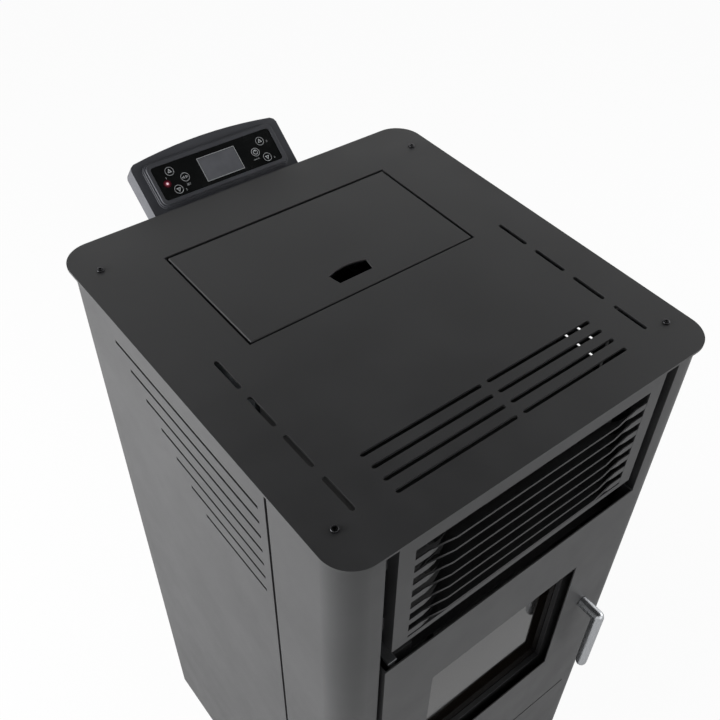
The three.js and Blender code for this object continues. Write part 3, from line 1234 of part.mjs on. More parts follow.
function makeDoorLatch() {
  const r = HANDLE_SHAFT_RADIUS + RUN_GAP / 2;
  const z = WINDOW_MID;
  const y0 = LATCH_REAR - HINGE_LUG;
  const arm = block(HANDLE_X, HANDLE_X + LATCH_REACH, y0, LATCH_REAR, z - LATCH_HALF, z + LATCH_HALF);
  const eye = rodY(LATCH_HALF, y0, LATCH_REAR, HANDLE_X, z, SMALL_SIDES);
  piece('door_latch', cut(joined(arm, eye), rodY(r, y0 - SHEET, LATCH_REAR + SHEET, HANDLE_X, z,
    SMALL_SIDES)), RAW_STEEL,
    stove);
}

// ---------------------------------------------------------------- ash drawer

function makeAshDrawer() {
  const y0 = DOOR_SETBACK;
  const rear = y0 + DRAWER_DEPTH;
  const z0 = DRAWER_FLOOR_Z;
  const z1 = z0 + DRAWER_BOX_HEIGHT;
  const face = block(-DRAWER_FACE_HALF, DRAWER_FACE_HALF, y0, y0 + SHEET, DRAWER_FACE_BOTTOM,
    DRAWER_FACE_TOP);
  const tub = cut(
    block(-DRAWER_HALF, DRAWER_HALF, y0 + SHEET / 2, rear, z0, z1),
    block(-DRAWER_HALF + SHEET, DRAWER_HALF - SHEET, y0 + 2 * SHEET, rear - SHEET, z0 + SHEET, z1 + SHEET),
  );
  const pullZ = DRAWER_FACE_TOP - DRAWER_PULL_DROP;
  const pull = joined(
    block(-DRAWER_PULL_HALF, DRAWER_PULL_HALF, y0 - DRAWER_PULL_REACH, y0 + SHEET / 2, pullZ, pullZ + SHEET),
    block(-DRAWER_PULL_HALF, DRAWER_PULL_HALF, y0 - DRAWER_PULL_REACH, y0 - DRAWER_PULL_REACH + SHEET,
      pullZ - DRAWER_PULL_LIP, pullZ + SHEET),
  );
  piece('ash_drawer', joined(face, tub, pull), CHARCOAL, stove);
}

// ---------------------------------------------------------------- air

// A fan's scroll case lying across the stove: a round drum with a square outlet from its edge.
function scrollCase(place, radius, width, outletBox) {
  const [x, y, z] = place;
  const x0 = x - width / 2;
  const x1 = x + width / 2;
  const drum = joined(rodX(radius, x0, x1, y, z), block(...outletBox(0, x0, x1)));
  const hollow = joined(
    rodX(radius - SHEET, x0 + SHEET, x1 - SHEET, y, z),
    block(...outletBox(SHEET, x0, x1)),
  );
  return [drum, hollow];
}

function makeSmokeFanHousing() {
  const place = [SMOKE_FAN_X, SMOKE_FAN_Y, SMOKE_FAN_Z];
  const half = FLUE_RADIUS + SHEET + SEAT_GAP;
  const outlet = (inset) => {
    const rear = FLUE_INNER_Y + inset;
    return [SMOKE_FAN_X - half + inset, SMOKE_FAN_X + half - inset, SMOKE_FAN_Y, rear,
      FLUE_Z - half + inset, FLUE_Z + half - inset];
  };
  const [drum, hollow] = scrollCase(place, SMOKE_SCROLL_RADIUS, SMOKE_SCROLL_WIDTH, outlet);
  const throat = block(SMOKE_DUCT_X - SMOKE_DUCT_HALF, SMOKE_DUCT_X + SMOKE_DUCT_HALF,
    FIREBOX_REAR_Y + SEAT_GAP,
    SMOKE_FAN_Y, SMOKE_DUCT_Z - SMOKE_DUCT_HALF, SMOKE_DUCT_Z + SMOKE_DUCT_HALF);
  const inner = SMOKE_DUCT_HALF - SHEET;
  const throatBore = block(SMOKE_DUCT_X - inner, SMOKE_DUCT_X + inner, FIREBOX_REAR_Y - SHEET, SMOKE_FAN_Y,
    SMOKE_DUCT_Z - inner, SMOKE_DUCT_Z + inner);
  const shaftHole = rodX(SHAFT_RADIUS + RUN_GAP, SMOKE_FAN_X - SMOKE_SCROLL_WIDTH, SMOKE_FAN_X,
    SMOKE_FAN_Y, SMOKE_FAN_Z,
    SMALL_SIDES);
  piece('smoke_fan_housing', cut(joined(drum, throat), hollow, throatBore, shaftHole), GALVANISED, stove);
}

function fanWheel(place, radius, halfWidth, blades, shaftFrom, shaftTo) {
  const [x, y, z] = place;
  let wheel = joined(
    rodX(radius, x - halfWidth, x - halfWidth + SHEET, y, z),
    rodX(SHAFT_RADIUS * 3, x - halfWidth, x + halfWidth, y, z, SMALL_SIDES),
    rodX(SHAFT_RADIUS, shaftFrom, shaftTo, y, z, SMALL_SIDES),
  );
  for (let i = 0; i < blades; i += 1) {
    const blade = new THREE.BoxGeometry(2 * halfWidth - SHEET / 2, radius - SHAFT_RADIUS * 2, SHEET);
    blade.translate(SHEET / 4, (radius + SHAFT_RADIUS * 2) / 2 - SHEET, 0).rotateX(Math.PI * 2 * i / blades);
    wheel = joined(wheel, solid(blade.translate(x, y, z)));
  }
  return wheel;
}

function makeSmokeFan() {
  const place = [SMOKE_FAN_X, SMOKE_FAN_Y, SMOKE_FAN_Z];
  const side = SMOKE_FAN_X - SMOKE_SCROLL_WIDTH / 2 - SEAT_GAP;
  const motorSeat = side - SHAFT_SOCKET;
  const wheel = fanWheel(place, SMOKE_WHEEL_RADIUS, SMOKE_WHEEL_WIDTH / 2, SMOKE_BLADES,
    motorSeat + RUN_GAP, SMOKE_FAN_X);
  piece('smoke_impeller', wheel, STAINLESS, stove);
  const motor = rodX(SMOKE_MOTOR_RADIUS, side - SMOKE_MOTOR_LENGTH, side, SMOKE_FAN_Y, SMOKE_FAN_Z);
  const socket = rodX(SHAFT_RADIUS + RUN_GAP, motorSeat, side + SHEET, SMOKE_FAN_Y, SMOKE_FAN_Z, SMALL_SIDES);
  piece('smoke_fan_motor', cut(motor, socket), BLACK_SHEET, stove);
}

function makeFlueOutlet() {
  const y0 = FLUE_INNER_Y + SEAT_GAP;
  const y1 = REAR_PANEL_Y + FLUE_STICK_OUT;
  const tube = cut(
    joined(
      rodY(FLUE_RADIUS, y0, y1, SMOKE_FAN_X, FLUE_Z, FLUE_SIDES),
      rodY(FLUE_RADIUS + FLUE_BEAD, y0, y0 + SHEET, SMOKE_FAN_X, FLUE_Z, FLUE_SIDES),
    ),
    rodY(FLUE_RADIUS - FLUE_WALL, y0 - SHEET, y1 + SHEET, SMOKE_FAN_X, FLUE_Z, FLUE_SIDES),
  );
  piece('flue_outlet', tube, BLACK_SHEET, stove);
}

function makeAirInletPipe() {
  const y0 = FIREBOX_REAR_Y + SEAT_GAP;
  const y1 = REAR_PANEL_Y + AIR_PIPE_STICK_OUT;
  const tube = cut(rodY(AIR_PIPE_RADIUS, y0, y1, 0, AIR_PIPE_Z, AIR_PIPE_SIDES),
    rodY(AIR_PIPE_RADIUS - FLUE_WALL, y0 - SHEET, y1 + SHEET, 0, AIR_PIPE_Z, AIR_PIPE_SIDES));
  piece('air_inlet_pipe', tube, RAW_STEEL, stove);
}

function makeRoomFan() {
  const place = [ROOM_FAN_X, ROOM_FAN_Y, ROOM_FAN_Z];
  const half = ROOM_SCROLL_WIDTH / 2;
  const outlet = (inset, x0, x1) => [x0 + inset, x1 - inset, ROOM_FAN_Y - ROOM_SCROLL_RADIUS + inset,
    ROOM_FAN_Y - inset, ROOM_FAN_Z, ROOM_FAN_Z + ROOM_SCROLL_RADIUS + ROOM_OUTLET_HEIGHT + 2 * inset];
  const [drum, hollow] = scrollCase(place, ROOM_SCROLL_RADIUS, ROOM_SCROLL_WIDTH, outlet);
  const eye = rodX(ROOM_EYE_RADIUS, ROOM_FAN_X, ROOM_FAN_X + ROOM_SCROLL_WIDTH, ROOM_FAN_Y, ROOM_FAN_Z);
  const left = ROOM_FAN_X - half;
  const motor = rodX(ROOM_MOTOR_RADIUS, left - ROOM_MOTOR_LENGTH, left + SHEET / 2, ROOM_FAN_Y, ROOM_FAN_Z);
  const socket = rodX(SHAFT_RADIUS + RUN_GAP, left - SHAFT_SOCKET, ROOM_FAN_X, ROOM_FAN_Y, ROOM_FAN_Z,
    SMALL_SIDES);
  const legs = [left, ROOM_FAN_X + half - ROOM_FOOT].flatMap((x, i) => {
    const z0 = BODY_BOTTOM + SHEET + SEAT_GAP;
    const legX = x + i * (ROOM_FOOT - SHEET);
    const [y0, y1] = [ROOM_FAN_Y - ROOM_SCROLL_RADIUS / 2, ROOM_FAN_Y + ROOM_SCROLL_RADIUS / 2];
    const leg = block(legX, legX + SHEET, y0, y1, z0, ROOM_FAN_Z - ROOM_SCROLL_RADIUS + 2 * SHEET);
    return [leg, block(x, x + ROOM_FOOT, y0, y1, z0, z0 + SHEET)];
  });
  piece('room_fan_housing', cut(joined(cut(drum, hollow, eye), motor, ...legs), socket), GALVANISED, stove);
  const wheel = fanWheel(place, ROOM_WHEEL_RADIUS, half - 3 * SHEET, ROOM_BLADES,
    left - SHAFT_SOCKET + RUN_GAP, ROOM_FAN_X);
  piece('room_fan_wheel', wheel, BLACK_PLASTIC, stove);
}

// ---------------------------------------------------------------- electrics

function makeMains() {
  const y1 = REAR_PANEL_Y + INLET_FLANGE;
  const x0 = INLET_X - INLET_HALF_W - ROCKER_HALF_W * 2;
  const x1 = INLET_X + INLET_HALF_W;
  const z0 = INLET_Z - INLET_HALF_H;
  const z1 = INLET_Z + INLET_HALF_H;
  const body = block(x0, x1, REAR_PANEL_Y - INLET_DEPTH, y1 - SHEET, z0, z1);
  const flange = block(x0 - INLET_FLANGE, x1 + INLET_FLANGE, REAR_PANEL_Y + SEAT_GAP, y1, z0 - INLET_FLANGE,
    z1 + INLET_FLANGE);
  const rim = SHEET * 2;
  const socket = block(INLET_X - INLET_HALF_W + rim, x1 - rim, REAR_PANEL_Y - INLET_DEPTH + rim,
    y1 + SHEET, z0 + rim,
    z1 - rim);
  const pocket = block(ROCKER_X - ROCKER_HALF_H - RUN_GAP, ROCKER_X + ROCKER_HALF_H + RUN_GAP,
    REAR_PANEL_Y - ROCKER_DEPTH - SHEET, y1 + SHEET, INLET_Z - ROCKER_HALF_W - RUN_GAP,
      INLET_Z + ROCKER_HALF_W + RUN_GAP);
  let inlet = cut(joined(body, flange), socket, pocket);
  for (const dx of [-1, 0, 1]) {
    const pin = block(INLET_X + dx * PIN_PITCH - PIN_HALF, INLET_X + dx * PIN_PITCH + PIN_HALF,
      REAR_PANEL_Y - INLET_DEPTH + SHEET, REAR_PANEL_Y, INLET_Z - SHEET, INLET_Z + SHEET);
    inlet = joined(inlet, pin);
  }
  piece('mains_inlet', inlet, BLACK_PLASTIC, stove);

  const rocker = outline([[y1 - ROCKER_DEPTH, INLET_Z - ROCKER_FOOT], [y1 - SHEET,
    INLET_Z - ROCKER_HALF_W + SHEET],
    [y1 + ROCKER_RISE, INLET_Z + ROCKER_HALF_W - SHEET], [y1 - ROCKER_DEPTH, INLET_Z + ROCKER_FOOT]]);
  const body2 = carriedAcross(rocker, ROCKER_X - ROCKER_HALF_H, ROCKER_X + ROCKER_HALF_H);
  piece('mains_rocker', body2, RED_LENS, stove);
}

function makeControlBoard() {
  const [depth, length, height] = CONTROL_BOARD_SIZE;
  const x1 = BODY_HALF - SHEET - SEAT_GAP;
  const y0 = SIDE_PANEL_FRONT + CONTROL_BOARD_SETBACK;
  const z0 = CONTROL_BOARD_Z;
  const tray = cut(
    block(x1 - depth, x1, y0, y0 + length, z0, z0 + height),
    block(x1 - depth - SHEET, x1 - SHEET, y0 + SHEET, y0 + length - SHEET, z0 + SHEET, z0 + height - SHEET),
  );
  const face = x1 - 2 * BOARD_STANDOFF;
  const edge = BOARD_STANDOFF + SHEET;
  const board = block(face, face + BOARD_THICK, y0 + edge, y0 + length - edge, z0 + edge, z0 + height - edge);
  const posts = [];
  for (const y of [y0 + 2 * edge, y0 + length - 2 * edge]) {
    for (const z of [z0 + 2 * edge, z0 + height - 2 * edge]) {
      posts.push(rodX(BOARD_STANDOFF / 2, face + BOARD_THICK / 2, x1 - SHEET / 2, y, z, HOLE_SIDES));
    }
  }
  const chips = BOARD_CHIPS.map(([dy, dz, wide, high, tall]) => (
    block(face - tall, face + BOARD_THICK / 2, y0 + dy, y0 + dy + wide, z0 + dz, z0 + dz + high)
  ));
  piece('control_board', joined(tray, board, ...posts, ...chips), BOARD_GREEN, stove);
}

// ---------------------------------------------------------------- keypad

// The keypad is built lying flat, its overlay's face at z = 0 and its top edge towards +y.
function keypadGroup() {
  const group = new THREE.Group();
  group.position.set(PANEL_X, PANEL_Y, PLATE_TOP + PANEL_RISE);
  group.rotation.x = PANEL_TILT * RADIANS;
  stove.add(group);
  return group;
}

// Straight sides and foot, an arched top edge and small rounded shoulders.
function panelOutline(inset) {
  const half = PANEL_HALF - inset;
  const bottom = PANEL_BOTTOM + inset;
  const shoulder = PANEL_SHOULDER - inset;
  const corner = Math.max(PANEL_CORNER - inset, PANEL_CORNER_LEAST);
  const rise = PANEL_CROWN - PANEL_SHOULDER;
  const radius = (PANEL_HALF ** 2 + rise ** 2) / (2 * rise) - inset;
  const centreY = PANEL_CROWN - inset - radius;
  const reach = Math.asin((half - corner) / radius) / RADIANS;
  const crown = arc(0, centreY, radius, QUARTER_TURN - reach, QUARTER_TURN + reach, CROWN_STEPS);
  return outline([
    [-half, bottom],
    [half, bottom],
    [half, shoulder - corner],
    [half - corner * CORNER_CUT, shoulder - corner * CORNER_CUT],
    ...crown,
    [-half + corner * CORNER_CUT, shoulder - corner * CORNER_CUT],
    [-half, shoulder - corner],
  ]);
}

function bandShape(grow, radius) {
  return roundedRectangle(-OVERLAY_HALF_W - grow, OVERLAY_HALF_W + grow, -OVERLAY_HALF_H - grow,
    OVERLAY_HALF_H + grow,
    radius);
}

function makePanelHousing(keypad) {
  const face = -BEZEL_RISE;
  const rear = face - PANEL_DEPTH;
  const shell = cut(
    raised(panelOutline(0), rear, face),
    raised(panelOutline(PANEL_WALL), rear - PANEL_WALL, face - PANEL_WALL),
  );
  const round = BEZEL_RISE / 3;
  const bezel = joined(
    raised(bandShape(BEZEL_BAND, BEZEL_RADIUS), face - PANEL_WALL / 2, -2 * round, ROUND_SIDES),
    raised(bandShape(BEZEL_BAND - BEZEL_STEP, BEZEL_RADIUS - BEZEL_STEP), face, -round, ROUND_SIDES),
    raised(bandShape(BEZEL_BAND - BEZEL_TOP_STEP, BEZEL_RADIUS - BEZEL_TOP_STEP), face, BEZEL_LIP,
      ROUND_SIDES),
  );
  const recess = raised(bandShape(SEAT_GAP, OVERLAY_RADIUS + SEAT_GAP), -OVERLAY_THICK - SEAT_GAP,
    BEZEL_LIP + SHEET);
  const well = raised(bandShape(-OVERLAY_LEDGE, OVERLAY_RADIUS), rear, 0);
  piece('panel_housing', cut(joined(shell, bezel), recess, well), DARK_PLASTIC, keypad);
}

function makePanelBack(keypad) {
  const rear = -BEZEL_RISE - PANEL_DEPTH;
  const cover = raised(panelOutline(PANEL_WALL + SEAT_GAP), rear, rear + PANEL_WALL);
  piece('panel_back_cover', cover, DARK_PLASTIC, keypad);
}

function makeKeypadParts(keypad) {
  const [sx, sy] = SCREEN_CENTRE;
  const keyHole = (x, y, radius, z0, z1) => rodZ(radius, z0, z1, x, y, KEY_SIDES);
  const top = 0;
  const bottom = -OVERLAY_THICK;
  const below = bottom - 2 * SEAT_GAP;
  let overlay = raised(bandShape(0, OVERLAY_RADIUS), bottom, top);
  for (const [, x, y] of KEY_PLACES) {
    overlay = cut(overlay, keyHole(x, y, KEY_RADIUS + SEAT_GAP, bottom - SHEET, top + SHEET));
  }
  overlay = cut(overlay, keyHole(...INDICATOR_PLACE, INDICATOR_RADIUS + SEAT_GAP, bottom - SHEET,
    top + SHEET));
  const glassHalfW = SCREEN_HALF_W + SEAT_GAP;
  const glassHalfH = SCREEN_HALF_H + SEAT_GAP;
  overlay = cut(overlay, block(sx - glassHalfW, sx + glassHalfW, sy - glassHalfH, sy + glassHalfH,
    bottom - SHEET, top + SHEET));
  piece('keypad_overlay', overlay, GLOSS_BLACK, keypad);

  const screen = block(sx - SCREEN_HALF_W, sx + SCREEN_HALF_W, sy - SCREEN_HALF_H, sy + SCREEN_HALF_H,
    below - SCREEN_THICK, top - SCREEN_SINK);
  piece('display_screen', screen, SCREEN_GREY, keypad);

  for (const [name, x, y] of KEY_PLACES) {
    piece(name, keyHole(x, y, KEY_RADIUS, below - KEY_STEM, top + KEY_RISE), GLOSS_BLACK, keypad);
  }
  const lens = rodZ(INDICATOR_RADIUS, below - SCREEN_THICK, top + KEY_RISE, ...INDICATOR_PLACE, SMALL_SIDES);
  piece('indicator_lens', lens, RED_LENS, keypad);

  const boardTop = below - SCREEN_THICK - SEAT_GAP;
  const board = raised(bandShape(-OVERLAY_LEDGE - 2 * SEAT_GAP, OVERLAY_RADIUS), boardTop - BOARD_THICK,
    boardTop);
  const posts = [];
  for (const [, x, y] of KEY_PLACES) {
    posts.push(keyHole(x, y, KEY_POST_RADIUS, boardTop - BOARD_THICK / 2,
      below - KEY_STEM - KEY_TRAVEL - POST_GAP));
  }
  for (const [x, y] of [[-BOARD_POST_X, 0], [BOARD_POST_X, 0]]) {
    posts.push(keyHole(x, y, KEY_POST_RADIUS, -BEZEL_RISE - PANEL_DEPTH + PANEL_WALL + SEAT_GAP,
      boardTop - BOARD_THICK / 2));
  }
  piece('keypad_board', joined(board, ...posts), BOARD_GREEN, keypad);
}

// ---------------------------------------------------------------- the stove

makeTopPlate();
makeHopperLid();
makeLidHingeRod();
makeLidGasket();
makeHopper();
makeHopperGuard();
makeSidePanel('side_panel_left', -1);
makeSidePanel('side_panel_right', 1);
makeCornerColumn('corner_column_left', -1);
makeCornerColumn('corner_column_right', 1);
makeFrontGrille();
makeRearPanel();
makeBasePan();
makeFeet();
makeLowerFascia();
makeAugerTube();
makeAugerScrew();
makeAugerGearmotor();
makePelletChute();
makeFirebox();
makeHeatExchanger();
makeBaffle();
makeLiner();
makeBurnPotHolder();
makeBurnPot();
makeIgniter();
makeDoorSkin();
makeDoorFrame();
makeDoorGlass();
makeDoorGasket();
makeHingePin('door_hinge_pin_upper', DOOR_TOP + LUG_GAP, DOOR_TOP - KNUCKLE_LENGTH,
  DOOR_TOP + LUG_GAP + SHEET);
makeHingePin('door_hinge_pin_lower', DOOR_BOTTOM - LUG_GAP - HINGE_LUG, DOOR_BOTTOM - LUG_GAP - SHEET,
  DOOR_BOTTOM + KNUCKLE_LENGTH);
makeDoorHandle();
makeDoorLatch();
makeAshDrawer();
makeSmokeFanHousing();
makeSmokeFan();
makeFlueOutlet();
makeAirInletPipe();
makeRoomFan();
makeMains();
makeControlBoard();
const keypad = keypadGroup();
makePanelHousing(keypad);
makePanelBack(keypad);
makeKeypadParts(keypad);

stove.updateMatrixWorld(true);
const extent = new THREE.Box3().setFromObject(stove);
const middle = extent.getCenter(new THREE.Vector3());
stove.position.set(-middle.x, -middle.y, -extent.min.z);

export default stove;
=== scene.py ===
"""Finishes, fittings, print, light and camera for a sheet-steel pellet stove.

The stove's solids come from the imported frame. Each sub-assembly below gives its solids their real
finishes, rounds the edges of the sheet metal, and adds the small pieces that the solids leave out.
"""
import logging
import math
from dataclasses import dataclass, field
from enum import Enum
from typing import Callable, ClassVar, Iterable, Sequence

import bpy
from mathutils import Matrix, Vector


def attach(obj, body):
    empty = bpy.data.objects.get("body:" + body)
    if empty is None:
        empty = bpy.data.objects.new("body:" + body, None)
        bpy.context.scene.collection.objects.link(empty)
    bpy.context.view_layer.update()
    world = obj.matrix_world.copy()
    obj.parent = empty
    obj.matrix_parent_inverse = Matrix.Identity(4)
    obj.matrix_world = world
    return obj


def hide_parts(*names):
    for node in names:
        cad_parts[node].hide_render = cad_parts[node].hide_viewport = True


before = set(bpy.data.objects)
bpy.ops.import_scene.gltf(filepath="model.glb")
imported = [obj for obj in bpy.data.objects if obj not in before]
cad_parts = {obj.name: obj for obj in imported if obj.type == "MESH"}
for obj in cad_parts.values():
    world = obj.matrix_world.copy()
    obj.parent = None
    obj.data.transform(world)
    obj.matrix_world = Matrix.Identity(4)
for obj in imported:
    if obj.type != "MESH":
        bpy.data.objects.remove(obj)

MM = 0.001
FLAT_COS = 0.999
SHARP_ANGLE = 35.0
log = logging.getLogger("stove")

Point = tuple[float, float, float]
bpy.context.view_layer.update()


# ---------------------------------------------------------------- shader helpers

def linear(hex_colour: str) -> tuple[float, float, float, float]:
    """Turn an sRGB hex colour into linear RGBA.

    Args:
        hex_colour: six hex digits, with or without a leading hash.

    Returns:
        The colour as linear red, green, blue and an alpha of 1.
    """
    digits = hex_colour.lstrip("#")
    channels = [int(digits[i:i + 2], 16) / 255 for i in (0, 2, 4)]
    low = [c / 12.92 if c <= 0.04045 else ((c + 0.055) / 1.055) ** 2.4 for c in channels]
    return (low[0], low[1], low[2], 1.0)


class Nodes:
    """A material's node tree, built one node at a time."""

    def __init__(self, name: str) -> None:
        """Start an empty node material.

        Args:
            name: the material's name.
        """
        self.material = bpy.data.materials.new(name)
        self.material.use_nodes = True
        self.tree = self.material.node_tree
        self.tree.nodes.clear()

    def add(self, kind: str, links: dict | None = None, **settings: object) -> bpy.types.Node:
        """Add a node with its settings, socket values and links.

        Args:
            kind: the node's type name.
            links: input name or index to a value, or to an output socket that feeds it.
            **settings: attributes set on the node itself.

        Returns:
            The new node.
        """
        node = self.tree.nodes.new(kind)
        for key, value in settings.items():
            setattr(node, key, value)
        for key, value in (links or {}).items():
            if isinstance(value, bpy.types.NodeSocket):
                self.tree.links.new(value, node.inputs[key])
            else:
                node.inputs[key].default_value = value
        return node

    def place(self) -> bpy.types.NodeSocket:
        """Object coordinates, in metres, for a pattern that stays on its piece."""
        return self.add("ShaderNodeTexCoord").outputs["Object"]

    def grain(self, size_mm: float, detail: float = 2.0, rough: float = 0.5) -> bpy.types.NodeSocket:
        """A cloudy value from 0 to 1 whose features are about size_mm across.

        Args:
            size_mm: how far apart the pattern's features lie on the real surface.
            detail: how many finer layers the noise carries.
            rough: how strong those finer layers are.

        Returns:
            The noise value's output socket.
        """
        noise = self.add("ShaderNodeTexNoise", {"Vector": self.place(), "Scale": 1 / (size_mm * MM),
                                                "Detail": detail, "Roughness": rough})
        return noise.outputs[0]

    def between(self, fac: bpy.types.NodeSocket, low: float, high: float, start: float = 0.3,
                end: float = 0.7) -> bpy.types.NodeSocket:
        """Remap a value so that start..end becomes low..high.

        Args:
            fac: the value to remap.
            low: the result at start.
            high: the result at end.
            start: where the remap begins.
            end: where the remap ends.

        Returns:
            The remapped value's output socket.
        """
        remap = self.add("ShaderNodeMapRange", {"Value": fac, "From Min": start, "From Max": end,
                                                "To Min": low, "To Max": high})
        return remap.outputs[0]

    def mixed(self, fac: object, first: object, second: object) -> bpy.types.NodeSocket:
        """Mix two colours.

        Args:
            fac: the share of the second colour, as a number or a socket.
            first: a linear colour or a socket.
            second: a linear colour or a socket.

        Returns:
            The mixed colour's output socket.
        """
        mix = self.add("ShaderNodeMix", data_type="RGBA")
        for index, value in ((0, fac), (6, first), (7, second)):
            if isinstance(value, bpy.types.NodeSocket):
                self.tree.links.new(value, mix.inputs[index])
            else:
                mix.inputs[index].default_value = value
        return mix.outputs[2]

    def bumped(self, height: bpy.types.NodeSocket, depth_mm: float,
               under: bpy.types.NodeSocket | None = None) -> bpy.types.NodeSocket:
        """A surface normal raised by a height pattern.

        Args:
            height: the pattern, 0 to 1.
            depth_mm: how deep the real relief is.
            under: a normal that this one builds on.

        Returns:
            The normal's output socket.
        """
        links = {"Height": height, "Strength": 1.0, "Distance": depth_mm * MM}
        if under is not None:
            links["Normal"] = under
        return self.add("ShaderNodeBump", links).outputs[0]

    def finish(self, **sockets: object) -> bpy.types.Material:
        """Close the material with a Principled shader.

        Args:
            **sockets: shader inputs by name, with _ for each space.

        Returns:
            The finished material.
        """
        links = {key.replace("_", " "): value for key, value in sockets.items()}
        shader = self.add("ShaderNodeBsdfPrincipled", links)
        self.add("ShaderNodeOutputMaterial", {"Surface": shader.outputs[0]})
        return self.material


# ---------------------------------------------------------------- finishes

@dataclass(frozen=True)
class PowderCoat:
    """Epoxy-polyester powder baked on sheet steel: a matt skin with a very fine orange peel."""

    name: str
    colour: str
    thin: str
    roughness: float = 0.5
    peel_mm: float = 1.6
    peel_depth_mm: float = 0.02

    def material(self) -> bpy.types.Material:
        """Build the material. The real peel is about 0.5 mm, drawn coarser so that it shows."""
        n = Nodes(self.name)
        cloud = n.grain(90, 3.0)
        speck = n.grain(0.9, 1.0)
        tone = n.mixed(n.between(cloud, 0.0, 1.0), linear(self.colour), linear(self.thin))
        flecked = n.mixed(n.between(speck, 0.0, 0.25, 0.62, 0.75), tone, linear(self.thin))
        sheen = n.between(n.grain(45, 2.0), self.roughness - 0.03, self.roughness + 0.04)
        peel = n.bumped(n.grain(self.peel_mm, 2.0), self.peel_depth_mm)
        return n.finish(Base_Color=flecked, Roughness=sheen, Normal=peel, IOR=1.5)


@dataclass(frozen=True)
class BakedPaint:
    """Silicone heat paint on firebox plate: dead matt, with a dusty bloom where heat has dried it."""

    name: str
    colour: str
    dust: str
    roughness: float = 0.75

    def material(self) -> bpy.types.Material:
        """Build the material: broad bloom of 60 mm over a 2 mm plate texture."""
        n = Nodes(self.name)
        bloom = n.between(n.grain(60, 4.0), 0.0, 0.5, 0.45, 0.75)
        tone = n.mixed(bloom, linear(self.colour), linear(self.dust))
        rough = n.bumped(n.grain(2.0), 0.03)
        return n.finish(Base_Color=tone, Roughness=self.roughness, Normal=rough, IOR=1.45)


@dataclass(frozen=True)
class CastIron:
    """Sand-cast grey iron: a pebbled skin of sand grains, with rust-brown heat colour in scattered patches."""

    name: str
    colour: str
    heat: str
    sand_mm: float = 1.4

    def material(self) -> bpy.types.Material:
        """Build the material: sand grains as relief, heat colour in 25 mm patches."""
        n = Nodes(self.name)
        sand = n.grain(self.sand_mm, 3.0, 0.6)
        patch = n.between(n.grain(25, 3.0), 0.0, 0.6)
        tone = n.mixed(patch, linear(self.colour), linear(self.heat))
        return n.finish(Base_Color=tone, Roughness=n.between(sand, 0.6, 0.85), Metallic=0.35,
                        Normal=n.bumped(sand, 0.18), IOR=1.5)


@dataclass(frozen=True)
class SheetMetal:
    """Bare mill-finished metal: long rolling lines one way, and a slightly uneven gloss."""

    name: str
    colour: str
    dull: str
    roughness: float = 0.38
    line_mm: float = 0.8
    along: Point = (1.0, 1.0, 0.04)

    def material(self) -> bpy.types.Material:
        """Build the material from stretched noise, its lines drawn 0.8 mm apart so that they show."""
        n = Nodes(self.name)
        stretched = n.add("ShaderNodeMapping", {"Vector": n.place(), "Scale": self.along})
        lines = n.add("ShaderNodeTexNoise", {"Vector": stretched.outputs[0], "Scale": 1 / (self.line_mm * MM),
                                             "Detail": 2.0}).outputs[0]
        tone = n.mixed(n.between(lines, 0.0, 0.6), linear(self.colour), linear(self.dull))
        gloss = n.between(lines, self.roughness - 0.06, self.roughness + 0.08)
        return n.finish(Base_Color=tone, Metallic=1.0, Roughness=gloss, Normal=n.bumped(lines, 0.008))


@dataclass(frozen=True)
class Galvanised:
    """Hot-dipped zinc on steel: crystal spangles about 12 mm across, each turned its own way."""

    name: str
    colour: str
    dull: str
    spangle_mm: float = 12.0

    def material(self) -> bpy.types.Material:
        """Build the material: cells set the tone and the gloss of each spangle."""
        n = Nodes(self.name)
        cells = n.add("ShaderNodeTexVoronoi", {"Vector": n.place(), "Scale": 1 / (self.spangle_mm * MM)})
        shade = n.add("ShaderNodeSeparateColor", {"Color": cells.outputs["Color"]}).outputs[0]
        tone = n.mixed(shade, linear(self.colour), linear(self.dull))
        gloss = n.between(shade, 0.36, 0.52, 0.0, 1.0)
        return n.finish(Base_Color=tone, Metallic=1.0, Roughness=gloss, Normal=n.bumped(n.grain(3.0), 0.01))


@dataclass(frozen=True)
class Moulded:
    """Injection-moulded plastic with a spark-eroded texture of shallow round pits."""

    name: str
    colour: str
    light: str
    roughness: float = 0.5
    pit_mm: float = 1.2
    pit_depth_mm: float = 0.025

    def material(self) -> bpy.types.Material:
        """Build the material. Real pits are 0.3 mm, drawn at 1.2 mm so that they show."""
        n = Nodes(self.name)
        pits = n.grain(self.pit_mm, 1.0)
        tone = n.mixed(n.between(n.grain(30, 2.0), 0.0, 1.0), linear(self.colour), linear(self.light))
        gloss = n.between(pits, self.roughness - 0.04, self.roughness + 0.06)
        return n.finish(Base_Color=tone, Roughness=gloss, Normal=n.bumped(pits, self.pit_depth_mm), IOR=1.49)


@dataclass(frozen=True)
class Glossy:
    """A smooth shiny skin: reverse-printed polyester film, glass or lacquered board."""

    name: str
    colour: str
    light: str
    roughness: float = 0.12
    cloud_mm: float = 20.0
    glow: float = 0.0

    def material(self) -> bpy.types.Material:
        """Build the material, faintly uneven in tone and gloss, with its own light where it is lit."""
        n = Nodes(self.name)
        cloud = n.grain(self.cloud_mm, 2.0)
        tone = n.mixed(n.between(cloud, 0.0, 1.0), linear(self.colour), linear(self.light))
        gloss = n.between(cloud, self.roughness * 0.8, self.roughness * 1.25)
        return n.finish(Base_Color=tone, Roughness=gloss, IOR=1.5, Emission_Color=linear(self.light),
                        Emission_Strength=self.glow)


